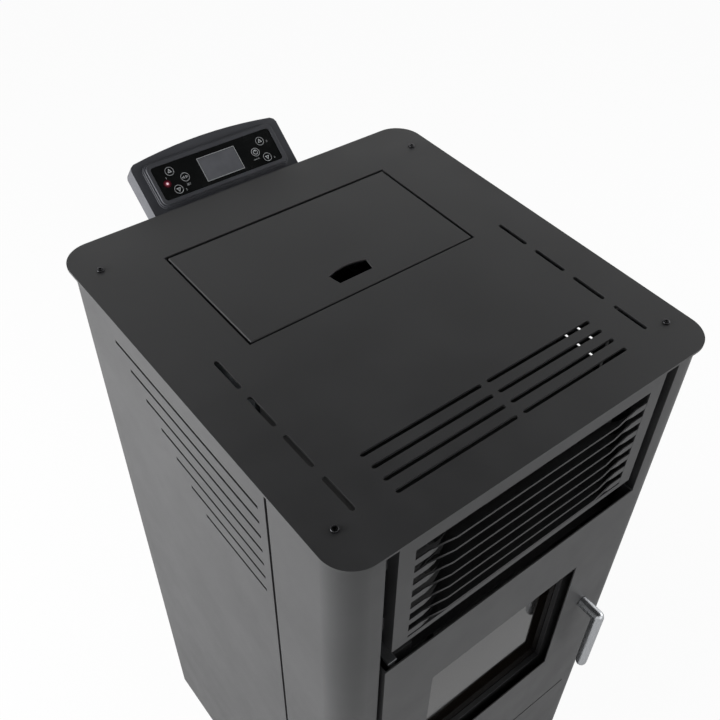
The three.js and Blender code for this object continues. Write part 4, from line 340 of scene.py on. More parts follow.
@dataclass(frozen=True)
class CeramicGlass:
    """Fire-viewing glass ceramic: clear brown-tinted plate that lets the dark firebox show through."""

    name: str
    tint: str
    smoked: str

    def material(self) -> bpy.types.Material:
        """Build the material: thin soot in 70 mm clouds over tinted, half-clear glass."""
        n = Nodes(self.name)
        soot = n.between(n.grain(70, 4.0), 0.0, 0.6, 0.4, 0.8)
        tone = n.mixed(soot, linear(self.tint), linear(self.smoked))
        return n.finish(Base_Color=tone, Roughness=n.between(soot, 0.03, 0.12, 0.0, 0.6), IOR=1.54,
                        Transmission_Weight=0.6)


@dataclass(frozen=True)
class Fibre:
    """Braided glass-fibre rope or pressed fibre board: matt, with a cell pattern of strands."""

    name: str
    colour: str
    shade: str
    strand_mm: float = 3.0
    depth_mm: float = 0.4

    def material(self) -> bpy.types.Material:
        """Build the material: Voronoi cells about 3 mm across stand for the strands."""
        n = Nodes(self.name)
        weave = n.add("ShaderNodeTexVoronoi", {"Vector": n.place(), "Scale": 1 / (self.strand_mm * MM)})
        depth = weave.outputs["Distance"]
        tone = n.mixed(n.between(depth, 0.0, 1.0, 0.1, 0.7), linear(self.colour), linear(self.shade))
        return n.finish(Base_Color=tone, Roughness=0.95, Normal=n.bumped(depth, self.depth_mm), IOR=1.45)


# ---------------------------------------------------------------- modelling helpers

class Side(Enum):
    """Left or right of the stove, seen from its front."""

    LEFT = -1
    RIGHT = 1


def deselect() -> None:
    """Leave nothing selected, so the next operator acts only on what it is given."""
    if bpy.context.object and bpy.context.object.mode != "OBJECT":
        bpy.ops.object.mode_set(mode="OBJECT")
    bpy.ops.object.select_all(action="DESELECT")


def take(*pieces: bpy.types.Object) -> bpy.types.Object:
    """Select only these objects and make the first one active."""
    deselect()
    for obj in pieces:
        obj.select_set(True)
    bpy.context.view_layer.objects.active = pieces[0]
    return pieces[0]


def settle(obj: bpy.types.Object, matrix: Matrix | None = None) -> bpy.types.Object:
    """Put an object's place, turn and size into its mesh.

    Args:
        obj: the object to settle.
        matrix: a further placing in the stove's frame.

    Returns:
        The same object, at the origin and unturned.
    """
    take(obj)
    if matrix is not None:
        obj.matrix_world = matrix @ obj.matrix_world
    bpy.ops.object.transform_apply(location=True, rotation=True, scale=True)
    return obj


def apply_modifiers(obj: bpy.types.Object) -> None:
    """Apply every modifier on an object, in order."""
    take(obj)
    for modifier in list(obj.modifiers):
        bpy.ops.object.modifier_apply(modifier=modifier.name)


def joined(name: str, pieces: Sequence[bpy.types.Object]) -> bpy.types.Object:
    """Join pieces into one object with the given name."""
    whole = take(*pieces)
    if len(pieces) > 1:
        bpy.ops.object.join()
    whole.name = name
    return whole


def soft_edges(obj: bpy.types.Object, width_mm: float, segments: int = 2, angle: float = SHARP_ANGLE) -> None:
    """Round an object's sharp edges and smooth its shading.

    Args:
        obj: the object.
        width_mm: the bevel's width.
        segments: how many faces round each edge.
        angle: the angle, in degrees, past which an edge counts as sharp.
    """
    bevel = obj.modifiers.new("round", "BEVEL")
    bevel.width = width_mm * MM
    bevel.segments = segments
    bevel.limit_method = "ANGLE"
    bevel.angle_limit = math.radians(angle)
    apply_modifiers(obj)
    bpy.ops.object.shade_smooth_by_angle(angle=math.radians(angle))
    weights = obj.modifiers.new("flat_faces", "WEIGHTED_NORMAL")
    weights.keep_sharp = True
    apply_modifiers(obj)


def disc(radius_mm: float, height_mm: float, sides: int = 32, top_round_mm: float = 0.0) -> bpy.types.Object:
    """A short round stud standing on the origin, its top edge rounded.

    Args:
        radius_mm: its radius.
        height_mm: its height.
        sides: faces round it.
        top_round_mm: the radius of the rounded top edge.

    Returns:
        The stud.
    """
    deselect()
    bpy.ops.mesh.primitive_cylinder_add(vertices=sides, radius=radius_mm * MM, depth=height_mm * MM,
                                        location=(0, 0, height_mm * MM / 2))
    stud = settle(bpy.context.object)
    if top_round_mm:
        pick_top(stud)
        bpy.ops.mesh.bevel(offset=top_round_mm * MM, segments=4)
        bpy.ops.object.mode_set(mode="OBJECT")
    return stud


def pick_faces(obj: bpy.types.Object, wanted: Callable[[bpy.types.MeshPolygon], bool]) -> None:
    """Enter edit mode with only the wanted faces selected.

    Args:
        obj: the mesh object to edit.
        wanted: says of each face whether it is selected.
    """
    take(obj)
    bpy.ops.object.mode_set(mode="EDIT")
    bpy.ops.mesh.select_mode(type="FACE")
    bpy.ops.mesh.select_all(action="DESELECT")
    bpy.ops.object.mode_set(mode="OBJECT")
    for face in obj.data.polygons:
        face.select = wanted(face)
    bpy.ops.object.mode_set(mode="EDIT")


def pick_top(obj: bpy.types.Object) -> None:
    """Enter edit mode with only the object's topmost flat face selected."""
    highest = max(face.center.z for face in obj.data.polygons)
    pick_faces(obj, lambda face: face.center.z > highest - 0.01 * MM and face.normal.z > FLAT_COS)


def plate(width_mm: float, height_mm: float, thick_mm: float, round_mm: float) -> bpy.types.Object:
    """A flat plate on the origin, its upright corners rounded.

    Args:
        width_mm: its size along x.
        height_mm: its size along y.
        thick_mm: its thickness.
        round_mm: the radius of its four corners.

    Returns:
        The plate.
    """
    deselect()
    bpy.ops.mesh.primitive_cube_add(size=1, location=(0, 0, thick_mm * MM / 2),
                                    scale=(width_mm * MM, height_mm * MM, thick_mm * MM))
    obj = settle(bpy.context.object)
    take(obj)
    for edge in obj.data.edges:
        a, b = (obj.data.vertices[i].co for i in edge.vertices)
        edge.select = abs(a.z - b.z) > thick_mm * MM / 2
    for face in obj.data.polygons:
        face.select = False
    bpy.ops.object.mode_set(mode="EDIT")
    bpy.ops.mesh.select_mode(type="EDGE")
    bpy.ops.mesh.bevel(offset=round_mm * MM, segments=6)
    bpy.ops.object.mode_set(mode="OBJECT")
    return obj


def copies(name: str, first: bpy.types.Object, places: Iterable[Matrix]) -> bpy.types.Object:
    """Copy one modelled piece to several places and join the copies.

    Args:
        name: the joined object's name.
        first: the modelled piece, used up here.
        places: a placing for each copy.

    Returns:
        One object that holds all the copies.
    """
    made = []
    for place in places:
        take(first)
        bpy.ops.object.duplicate()
        made.append(settle(bpy.context.object, place))
    take(first)
    bpy.ops.object.delete()
    return joined(name, made)


def lettering(text: str, size_mm: float, thick_mm: float, place: Matrix) -> bpy.types.Object:
    """A word or number as a thin raised print.

    Args:
        text: what it says.
        size_mm: the letters' height setting.
        thick_mm: how far the ink stands up.
        place: where its centre goes.

    Returns:
        The print as a mesh.
    """
    deselect()
    bpy.ops.object.text_add()
    obj = bpy.context.object
    obj.data.body = text
    obj.data.size = size_mm * MM
    obj.data.extrude = thick_mm * MM / 2
    obj.data.align_x = "CENTER"
    obj.data.align_y = "CENTER"
    obj.data.resolution_u = 2
    take(obj)
    bpy.ops.object.convert(target="MESH")
    return settle(bpy.context.object, place)


def shifted(x: float, y: float, z: float) -> Matrix:
    """A placing by millimetres along the stove's axes."""
    return Matrix.Translation((x * MM, y * MM, z * MM))


def turned(degrees: float, axis: str) -> Matrix:
    """A turn about one of the stove's axes."""
    return Matrix.Rotation(math.radians(degrees), 4, axis)


def dressed(obj: bpy.types.Object, material: bpy.types.Material, body: str) -> bpy.types.Object:
    """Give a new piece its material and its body."""
    obj.data.materials.clear()
    obj.data.materials.append(material)
    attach(obj, body)
    return obj


def rounded_node(node: str, width_mm: float, segments: int = 2, angle: float = SHARP_ANGLE) -> bpy.types.Object:
    """A copy of a solid with merged faces and rounded edges, which then stands for the solid.

    Args:
        node: the solid's name.
        width_mm: the edges' rounding.
        segments: how many faces round each edge.
        angle: the angle, in degrees, past which an edge is sharp.

    Returns:
        The finished copy.
    """
    take(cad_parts[node])
    bpy.ops.object.duplicate()
    obj = bpy.context.object
    obj.parent = None
    for key in list(obj.keys()):
        del obj[key]
    obj.name = f"{node}_finished"
    bpy.ops.object.mode_set(mode="EDIT")
    bpy.ops.mesh.select_all(action="SELECT")
    bpy.ops.mesh.remove_doubles(threshold=0.01 * MM)
    bpy.ops.mesh.dissolve_limited(angle_limit=math.radians(0.5))
    bpy.ops.object.mode_set(mode="OBJECT")
    soft_edges(obj, width_mm, segments, angle)
    return obj


# ---------------------------------------------------------------- the finishes of this stove

class Look(Enum):
    """The finishes that this stove is made in, most of them by the frame's slot names."""

    CHARCOAL = "charcoal_paint"
    BLACK_SHEET = "black_paint"
    HEAT_PAINT = "heat_paint"
    CAST = "cast_iron"
    STEEL = "raw_steel"
    BLACK_OXIDE = "black_oxide"
    ZINC = "galvanised_sheet"
    STAINLESS = "stainless"
    HOUSING = "housing_plastic"
    PLASTIC = "black_plastic"
    FILM = "gloss_black"
    SCREEN = "display"
    GLASS = "ceramic_glass"
    ROPE = "rope_seal"
    LINER = "liner"
    BOARD = "circuit_board"
    RED = "red_plastic"
    RUBBER = "seal_rubber"


FINISHES: dict[Look, object] = {
    Look.CHARCOAL: PowderCoat("powder_coat_charcoal", "2f2f30", "39393a", 0.5),
    Look.BLACK_SHEET: PowderCoat("heat_paint_black", "222223", "2a2a2b", 0.6),
    Look.HEAT_PAINT: BakedPaint("silicone_paint_black", "232324", "3a3835"),
    Look.CAST: CastIron("cast_iron_dark", "2b2a29", "4a372b"),
    Look.STEEL: SheetMetal("zinc_plated_steel", "9a9c9e", "77797c"),
    Look.BLACK_OXIDE: SheetMetal("black_oxide_steel", "3c3c3e", "2b2b2c", 0.3),
    Look.ZINC: Galvanised("galvanised_steel", "9da1a5", "8c9094"),
    Look.STAINLESS: SheetMetal("stainless_steel", "b8babd", "9c9ea1", 0.28),
    Look.HOUSING: Moulded("abs_blue_grey", "4e4f54", "56575c", 0.5),
    Look.PLASTIC: Moulded("polyamide_black", "1b1b1d", "232325", 0.45),
    Look.FILM: Glossy("polyester_film_black", "1a1b1b", "202121", 0.16),
    Look.SCREEN: Glossy("display_window_grey", "7a7b80", "85868b", 0.2),
    Look.GLASS: CeramicGlass("glass_ceramic", "211c18", "0e0c0b"),
    Look.ROPE: Fibre("glass_fibre_rope", "6b6862", "33312e"),
    Look.LINER: Fibre("vermiculite_board", "a79878", "85765a", 2.2, 0.2),
    Look.BOARD: Glossy("solder_mask_green", "1f4a2c", "2c5a3a", 0.3, 8.0),
    Look.RED: Glossy("red_translucent", "8d1626", "d2485c", 0.25, 4.0),
    Look.RUBBER: Moulded("foam_rubber", "161616", "202020", 0.85),
}


@dataclass
class Assembly:
    """One group of the stove's pieces, and what they are made of."""

    body: ClassVar[str] = "cabinet"
    looks: dict[Look, bpy.types.Material]
    made: list[bpy.types.Object] = field(default_factory=list)

    def carry(self, look: Look, *nodes: str) -> None:
        """Give solids that keep their shape their real finish.

        Args:
            look: the finish.
            *nodes: the solids' names.
        """
        for node in nodes:
            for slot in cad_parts[node].material_slots:
                slot.material = self.looks[look]

    def round_off(self, look: Look, body: str, width_mm: float, *nodes: str) -> None:
        """Replace solids by copies with rounded edges.

        Args:
            look: the finish.
            body: the body that they move with.
            width_mm: the edges' rounding.
            *nodes: the solids' names.
        """
        for node in nodes:
            obj = rounded_node(node, width_mm)
            self.keep(obj, look, body)
            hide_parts(node)

    def keep(self, obj: bpy.types.Object, look: Look, body: str | None = None) -> bpy.types.Object:
        """Dress a new piece and put it on this assembly's list."""
        self.made.append(dressed(obj, self.looks[look], body or self.body))
        return obj

    def build(self) -> None:
        """Make and dress this assembly's pieces."""
        raise NotImplementedError


# ---------------------------------------------------------------- sub-assemblies

@dataclass
class Casing(Assembly):
    """The sheet-steel shell: top plate, sides, columns, louvred grille, back, base and feet."""

    screw_x: float = 213.5
    screw_front: float = -236.2
    screw_rear: float = 178.7
    plate_top: float = 945.0
    head_radius: float = 4.0
    head_height: float = 2.2
    head_round: float = 1.364
    head_sides: int = 32
    socket_radius: float = 1.6
    socket_depth: float = 1.3
    socket_tool: float = 4.0
    back_y: float = 191.9
    back_x: float = 219.0
    back_heights: tuple[float, ...] = (80, 290, 500, 710, 915)
    back_top: tuple[tuple[float, float], ...] = ((-70, 925), (70, 925))
    pan_radius: float = 3.6
    pan_height: float = 1.8
    pan_round: float = 1.0
    pan_sides: int = 20

    def build(self) -> None:
        """Round the folded sheets' edges and add the plate's and the back's screws."""
        self.round_off(Look.CHARCOAL, "cabinet", 0.5, "top_plate")
        self.round_off(Look.CHARCOAL, "cabinet", 0.6, "side_panel_left", "side_panel_right",
                       "corner_column_left", "corner_column_right", "lower_fascia")
        self.round_off(Look.CHARCOAL, "cabinet", 0.35, "front_grille")
        self.carry(Look.ZINC, "rear_panel")
        self.carry(Look.BLACK_SHEET, "base_pan")
        for corner, body in (("front_left", "foot_fl"), ("front_right", "foot_fr"),
                             ("rear_left", "foot_rl"), ("rear_right", "foot_rr")):
            self.round_off(Look.PLASTIC, body, 0.8, f"foot_{corner}")
        self.plate_screws()
        self.back_screws()

    def button_head(self) -> bpy.types.Object:
        """One button-head screw with a hexagon socket, standing on the origin."""
        head = disc(self.head_radius, self.head_height, self.head_sides, self.head_round)
        deselect()
        middle = self.head_height - self.socket_depth + self.socket_tool / 2
        bpy.ops.mesh.primitive_cylinder_add(vertices=6, radius=self.socket_radius * MM,
                                            depth=self.socket_tool * MM, location=(0, 0, middle * MM))
        hexagon = bpy.context.object
        hole = head.modifiers.new("socket", "BOOLEAN")
        hole.object = hexagon
        hole.operation = "DIFFERENCE"
        apply_modifiers(head)
        take(hexagon)
        bpy.ops.object.delete()
        take(head)
        bpy.ops.object.shade_smooth_by_angle(angle=math.radians(SHARP_ANGLE))
        return head

    def plate_screws(self) -> None:
        """Four screws that hold the top plate down near its corners."""
        spots = [(side.value * self.screw_x, y) for side in Side for y in (self.screw_front, self.screw_rear)]
        places = [shifted(x, y, self.plate_top) for x, y in spots]
        self.keep(copies("top_plate_screws", self.button_head(), places), Look.BLACK_OXIDE)

    def back_screws(self) -> None:
        """Pan-head screws round the back panel."""
        spots = [(side.value * self.back_x, z) for side in Side for z in self.back_heights]
        spots += self.back_top
        places = [shifted(x, self.back_y, z) @ turned(-90, "X") for x, z in spots]
        screw = disc(self.pan_radius, self.pan_height, self.pan_sides, self.pan_round)
        self.keep(copies("back_panel_screws", screw, places), Look.STEEL)


@dataclass
class HopperGroup(Assembly):
    """The flush lid, its hinge and seal, and the pellet hopper with its guard grid."""

    def build(self) -> None:
        """Finish the lid's edges and dress what is under it."""
        self.round_off(Look.CHARCOAL, "lid", 0.5, "hopper_lid")
        self.carry(Look.STEEL, "lid_hinge_rod")
        self.carry(Look.RUBBER, "lid_gasket")
        self.carry(Look.ZINC, "hopper", "hopper_guard")


@dataclass
class FeedGroup(Assembly):
    """The inclined feed screw in its tube, the motor that turns it, and the drop chute."""

    screw: ClassVar[str] = "feed_screw"

    def build(self) -> None:
        """Dress the tube, the screw, the gearmotor and the chute."""
        self.round_off(Look.ZINC, "cabinet", 0.3, "auger_tube")
        self.round_off(Look.STEEL, self.screw, 0.2, "auger_screw")
        self.round_off(Look.STEEL, "cabinet", 0.8, "auger_gearmotor")
        self.carry(Look.HEAT_PAINT, "pellet_chute")


@dataclass
class FireGroup(Assembly):
    """Everything the fire touches: firebox, liner, baffle, tubes, pot, holder and igniter."""

    def build(self) -> None:
        """Dress the fire side."""
        self.carry(Look.HEAT_PAINT, "firebox")
        self.round_off(Look.HEAT_PAINT, "cabinet", 0.2, "heat_exchanger")
        self.round_off(Look.LINER, "cabinet", 1.0, "firebox_liner", "baffle")
        self.round_off(Look.CAST, "cabinet", 1.2, "burn_pot_holder")
        self.round_off(Look.CAST, "fire_pot", 0.8, "burn_pot")
        self.round_off(Look.STAINLESS, "cabinet", 0.5, "igniter")


@dataclass
class DoorGroup(Assembly):
    """The glazed door on its pins, with its rope seal, lever handle and cam."""

    body: ClassVar[str] = "door"
    rope_half_width: float = 143.5
    rope_low: float = 281.5
    rope_high: float = 690.5
    rope_y: float = -250.85
    rope_radius: float = 4.4
    rope_corner: float = 14.0
    clip_x: float = 130.0
    clip_y: float = -255.8
    clip_heights: tuple[float, ...] = (430, 510, 590)
    clip_length: float = 16.0
    clip_width: float = 10.0
    clip_thick: float = 0.8
    clip_round: float = 2.0
    clip_screw_radius: float = 2.6
    clip_screw_height: float = 1.6
    clip_screw_round: float = 0.8
    clip_screw_sides: int = 16
    clip_screw_shift: float = 4.0

    def build(self) -> None:
        """Finish the door's sheets, lay a round rope in place of its seal, and add the glass clips."""
        self.round_off(Look.CHARCOAL, "door", 0.5, "door_skin")
        self.round_off(Look.BLACK_SHEET, "door", 0.4, "door_frame")
        self.carry(Look.GLASS, "door_glass")
        self.round_off(Look.STEEL, "cabinet", 0.4, "door_hinge_pin_upper", "door_hinge_pin_lower")
        self.round_off(Look.STAINLESS, "handle", 0.5, "door_handle")
        self.round_off(Look.STEEL, "handle", 0.4, "door_latch")
        self.rope()
        self.clips()

    def rope(self) -> None:
        """The rope seal: a round rope laid in a rectangle with rounded corners."""
        width = 2 * self.rope_half_width
        height = self.rope_high - self.rope_low
        deselect()
        bpy.ops.mesh.primitive_plane_add(size=1)
        path = bpy.context.object
        path.scale = (width * MM, height * MM, 1)
        settle(path)
        take(path)
        bpy.ops.object.mode_set(mode="EDIT")
        bpy.ops.mesh.select_all(action="SELECT")
        bpy.ops.mesh.bevel(offset=self.rope_corner * MM, segments=5, affect="VERTICES")
        bpy.ops.mesh.delete(type="ONLY_FACE")
        bpy.ops.object.mode_set(mode="OBJECT")
        bpy.ops.object.convert(target="CURVE")
        path.data.bevel_depth = self.rope_radius * MM
        path.data.bevel_resolution = 3
        bpy.ops.object.convert(target="MESH")
        rope = bpy.context.object
        rope.name = "door_rope"
        middle = (self.rope_low + self.rope_high) / 2
        settle(rope, shifted(0, self.rope_y, middle) @ turned(90, "X"))
        take(rope)
        bpy.ops.object.shade_smooth()
        self.keep(rope, Look.ROPE)
        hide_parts("door_gasket")

    def clips(self) -> None:
        """Six spring clips that hold the glass in the frame, each under a screw."""
        clip = plate(self.clip_length, self.clip_width, self.clip_thick, self.clip_round)
        screw = disc(self.clip_screw_radius, self.clip_screw_height, self.clip_screw_sides, self.clip_screw_round)
        settle(screw, shifted(self.clip_screw_shift, 0, self.clip_thick))
        one = joined("glass_clip", [clip, screw])
        places = []
        for side in Side:
            for z in self.clip_heights:
                across = turned(0 if side is Side.RIGHT else 180, "Z")
                places.append(shifted(side.value * self.clip_x, self.clip_y, z) @ turned(-90, "X") @ across)
        self.keep(copies("glass_clips", one, places), Look.STEEL)


@dataclass
class AshGroup(Assembly):
    """The ash drawer behind its flush front."""

    body: ClassVar[str] = "ash_tray"

    def build(self) -> None:
        """Finish the drawer's edges."""
        self.round_off(Look.CHARCOAL, self.body, 0.5, "ash_drawer")


@dataclass
class AirGroup(Assembly):
    """Smoke fan, flue spigot, combustion air pipe and the room air fan."""

    def build(self) -> None:
        """Dress the fans and pipes."""
        self.carry(Look.ZINC, "smoke_fan_housing", "room_fan_housing")
        self.round_off(Look.STAINLESS, "smoke_wheel", 0.2, "smoke_impeller")
        self.round_off(Look.PLASTIC, "room_wheel", 0.2, "room_fan_wheel")
        self.round_off(Look.STEEL, "cabinet", 1.5, "smoke_fan_motor")
        self.round_off(Look.BLACK_SHEET, "cabinet", 0.5, "flue_outlet")
        self.round_off(Look.ZINC, "cabinet", 0.5, "air_inlet_pipe")


@dataclass
class PowerGroup(Assembly):
    """Mains inlet with its rocker switch, and the control board."""

    def build(self) -> None:
        """Dress the electrical pieces."""
        self.round_off(Look.PLASTIC, "cabinet", 0.4, "mains_inlet")
        self.round_off(Look.RED, "rocker", 0.5, "mains_rocker")
        self.carry(Look.BOARD, "control_board")


class Glyph(Enum):
    """The marks printed on the keys."""

    UP = "up"
    DOWN = "down"
    BOTH = "both"
    POWER = "power"


@dataclass(frozen=True)
class Key:
    """One key: its solid and body, its place on the panel, its mark and the print beside it."""

    node: str
    body: str
    x: float
    y: float
    glyph: Glyph
    note: str
    note_dx: float
    note_dy: float
    note_size: float = 3.4


@dataclass
class KeypadGroup(Assembly):
    """The tilted control housing: moulded shell, film with its keys and print, display and lamp."""

    centre: Point = (-15.0, 266.245, 957.4)
    tilt: float = 38.0
    ink: float = 0.08
    key_top: float = 0.4
    ring_radius: float = 5.1
    ring_wire: float = 0.28
    mark_radius: float = 3.3
    mark_rim: float = 0.27
    pair_size: float = 0.66
    pair_shift: float = 0.55
    power_size: float = 0.82
    power_wire: float = 0.45
    power_bar: float = 0.9
    power_bar_shift: float = 0.6
    screen_centre: tuple[float, float] = (2.4, -1.1)
    screen_size: tuple[float, float] = (49.6, 28.8)
    screen_line: float = 0.75
    screen_corner: float = 0.6
    lamp_place: tuple[float, float] = (-69.8, -2.2)
    lamp_glow_radius: float = 4.6
    lamp_glow_sides: int = 32
    lamp_spot_radius: float = 1.5
    lamp_spot_sides: int = 24
    keys: tuple[Key, ...] = (
        Key("key_left_up", "button_left_up", -60.5, 10.8, Glyph.UP, "1", -7.4, -6.4),
        Key("key_set", "button_set", -46.4, -1.6, Glyph.BOTH, "SET", 0.6, -9.4),
        Key("key_left_down", "button_left_down", -60.3, -12.6, Glyph.DOWN, "2", 8.6, -3.4),
        Key("key_right_up", "button_right_up", 62.3, 8.4, Glyph.UP, "5", 9.0, -2.8),
        Key("key_power", "button_power", 50.2, -2.6, Glyph.POWER, "ON/OFF", -2.6, -8.6, 2.2),
        Key("key_right_down", "button_right_down", 61.8, -13.0, Glyph.DOWN, "6", 9.0, -3.0),
    )

    def on_panel(self, x: float, y: float, z: float) -> Matrix:
        """A placing on the tilted panel, in millimetres from its centre along its own axes."""
        lean = shifted(*self.centre) @ turned(self.tilt, "X")
        return lean @ shifted(x, y, z)

    def build(self) -> None:
        """Finish the shell and keys, then lay down the print and the display's frame."""
        self.round_off(Look.HOUSING, "cabinet", 0.9, "panel_housing")
        self.round_off(Look.HOUSING, "cabinet", 0.5, "panel_back_cover")
        self.carry(Look.FILM, "keypad_overlay")
        self.carry(Look.SCREEN, "display_screen")
        self.carry(Look.BOARD, "keypad_board")
        for key in self.keys:
            self.round_off(Look.FILM, key.body, 0.15, key.node)
            self.mark(key)
        self.notes()
        self.screen_frame()
        self.lamp()

    def wedge(self, radius: float, turn: float) -> bpy.types.Object:
        """A small solid triangle of ink, lying on the origin.

        Args:
            radius: from its centre to its points.
            turn: its turn in degrees; 0 points up the panel.

        Returns:
            The triangle.
        """
        deselect()
        bpy.ops.mesh.primitive_cylinder_add(vertices=3, radius=radius * MM, depth=self.ink * MM,
                                            location=(0, 0, self.ink * MM / 2),
                                            rotation=(0, 0, math.radians(turn)))
        mark = settle(bpy.context.object)
        pick_faces(mark, lambda face: abs(face.normal.z) > FLAT_COS)
        bpy.ops.mesh.inset(thickness=radius * self.mark_rim * MM)
        bpy.ops.mesh.bridge_edge_loops()
        bpy.ops.object.mode_set(mode="OBJECT")
        return mark

    def loop(self, radius: float, wire: float) -> bpy.types.Object:
        """A flat ring of ink round the origin."""
        deselect()
        bpy.ops.mesh.primitive_torus_add(major_segments=40, minor_segments=6, major_radius=radius * MM,
                                         minor_radius=wire * MM)
        ring = bpy.context.object
        ring.scale = (1, 1, self.ink / (2 * wire))
        return settle(ring)

    def mark(self, key: Key) -> None:
        """Print a key's ring and mark on its cap."""
        parts = [settle(self.loop(self.ring_radius, self.ring_wire), shifted(0, 0, self.ink / 2))]
        if key.glyph is Glyph.UP:
            parts.append(self.wedge(self.mark_radius, 0))
        elif key.glyph is Glyph.DOWN:
            parts.append(self.wedge(self.mark_radius, 180))
        elif key.glyph is Glyph.BOTH:
            for side in Side:
                half = self.wedge(self.mark_radius * self.pair_size, -90 * side.value)
                parts.append(settle(half, shifted(side.value * self.mark_radius * self.pair_shift, 0, 0)))
        else:
            circle = self.loop(self.mark_radius * self.power_size, self.power_wire)
            parts.append(settle(circle, shifted(0, 0, self.ink / 2)))
            bar = plate(self.power_bar, self.mark_radius, self.ink, self.power_bar / 3)
            parts.append(settle(bar, shifted(0, self.mark_radius * self.power_bar_shift, 0)))
        mark = settle(joined(f"mark_{key.node}", parts), self.on_panel(key.x, key.y, self.key_top))
        mark.data.materials.clear()
        mark.data.materials.append(self.ink_look())
        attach(mark, key.body)
        self.made.append(mark)

    def ink_look(self) -> bpy.types.Material:
        """The light grey screen ink, made once."""
        name = "screen_ink_grey"
        found = bpy.data.materials.get(name)
        return found or Glossy(name, "d4d6d8", "e2e4e6", 0.4, 3.0).material()

    def notes(self) -> None:
        """The word or number beside each key, printed on the film."""
        parts = []
        for key in self.keys:
            place = self.on_panel(key.x + key.note_dx, key.y + key.note_dy, self.ink / 2)
            parts.append(lettering(key.note, key.note_size, self.ink, place))
        print_layer = joined("keypad_print", parts)
        print_layer.data.materials.clear()
        print_layer.data.materials.append(self.ink_look())
        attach(print_layer, "cabinet")
        self.made.append(print_layer)

    def screen_frame(self) -> None:
        """The thin light line printed round the display window."""
        width, height = self.screen_size
        rim = 2 * self.screen_line
        line = plate(width + rim, height + rim, self.ink, self.screen_corner)
        deselect()
        bpy.ops.mesh.primitive_cube_add(size=1, scale=(width * MM, height * MM, 1 * MM))
        window = bpy.context.object
        opening = line.modifiers.new("window", "BOOLEAN")
        opening.object = window
        opening.operation = "DIFFERENCE"
        apply_modifiers(line)
        take(window)
        bpy.ops.object.delete()
        line.name = "display_border"
        settle(line, self.on_panel(*self.screen_centre, 0.0))
        line.data.materials.clear()
        line.data.materials.append(self.ink_look())
        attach(line, "cabinet")
        self.made.append(line)

    def lamp(self) -> None:
        """The lit indicator and the red light that it spreads in the film round it."""
        self.round_off(Look.RED, "cabinet", 0.5, "indicator_lens")
        lens = self.made[-1]
        lens.data.materials.clear()
        lens.data.materials.append(Glossy("indicator_red", "5c1424", "8a2a3c", 0.3, 2.0, 0.25).material())
        spot = disc(self.lamp_spot_radius, self.ink, self.lamp_spot_sides)
        self.light_patch("indicator_spot", spot, self.key_top,
                         Glossy("indicator_lit", "e8c0ca", "f4d4dc", 0.3, 2.0, 0.5))
        halo = disc(self.lamp_glow_radius, self.ink, self.lamp_glow_sides)
        self.light_patch("indicator_halo", halo, 0.0, Glossy("film_red_lit", "3c0d18", "5c1826", 0.2, 3.0, 0.12))

    def light_patch(self, name: str, patch: bpy.types.Object, lift: float, finish: Glossy) -> None:
        """Lay a lit disc over the indicator.

        Args:
            name: the disc's name.
            patch: the disc, on the origin.
            lift: its height above the film.
            finish: what it is lit like.
        """
        patch.name = name
        settle(patch, self.on_panel(*self.lamp_place, lift))
        patch.data.materials.clear()
        patch.data.materials.append(finish.material())
        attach(patch, "cabinet")
        self.made.append(patch)


# ---------------------------------------------------------------- studio

@dataclass(frozen=True)
class Lamp:
    """One soft box: where it stands, what it faces, its size in metres and its power in watts."""

    name: str
    place: Point
    target: Point
    size: tuple[float, float]
    power: float


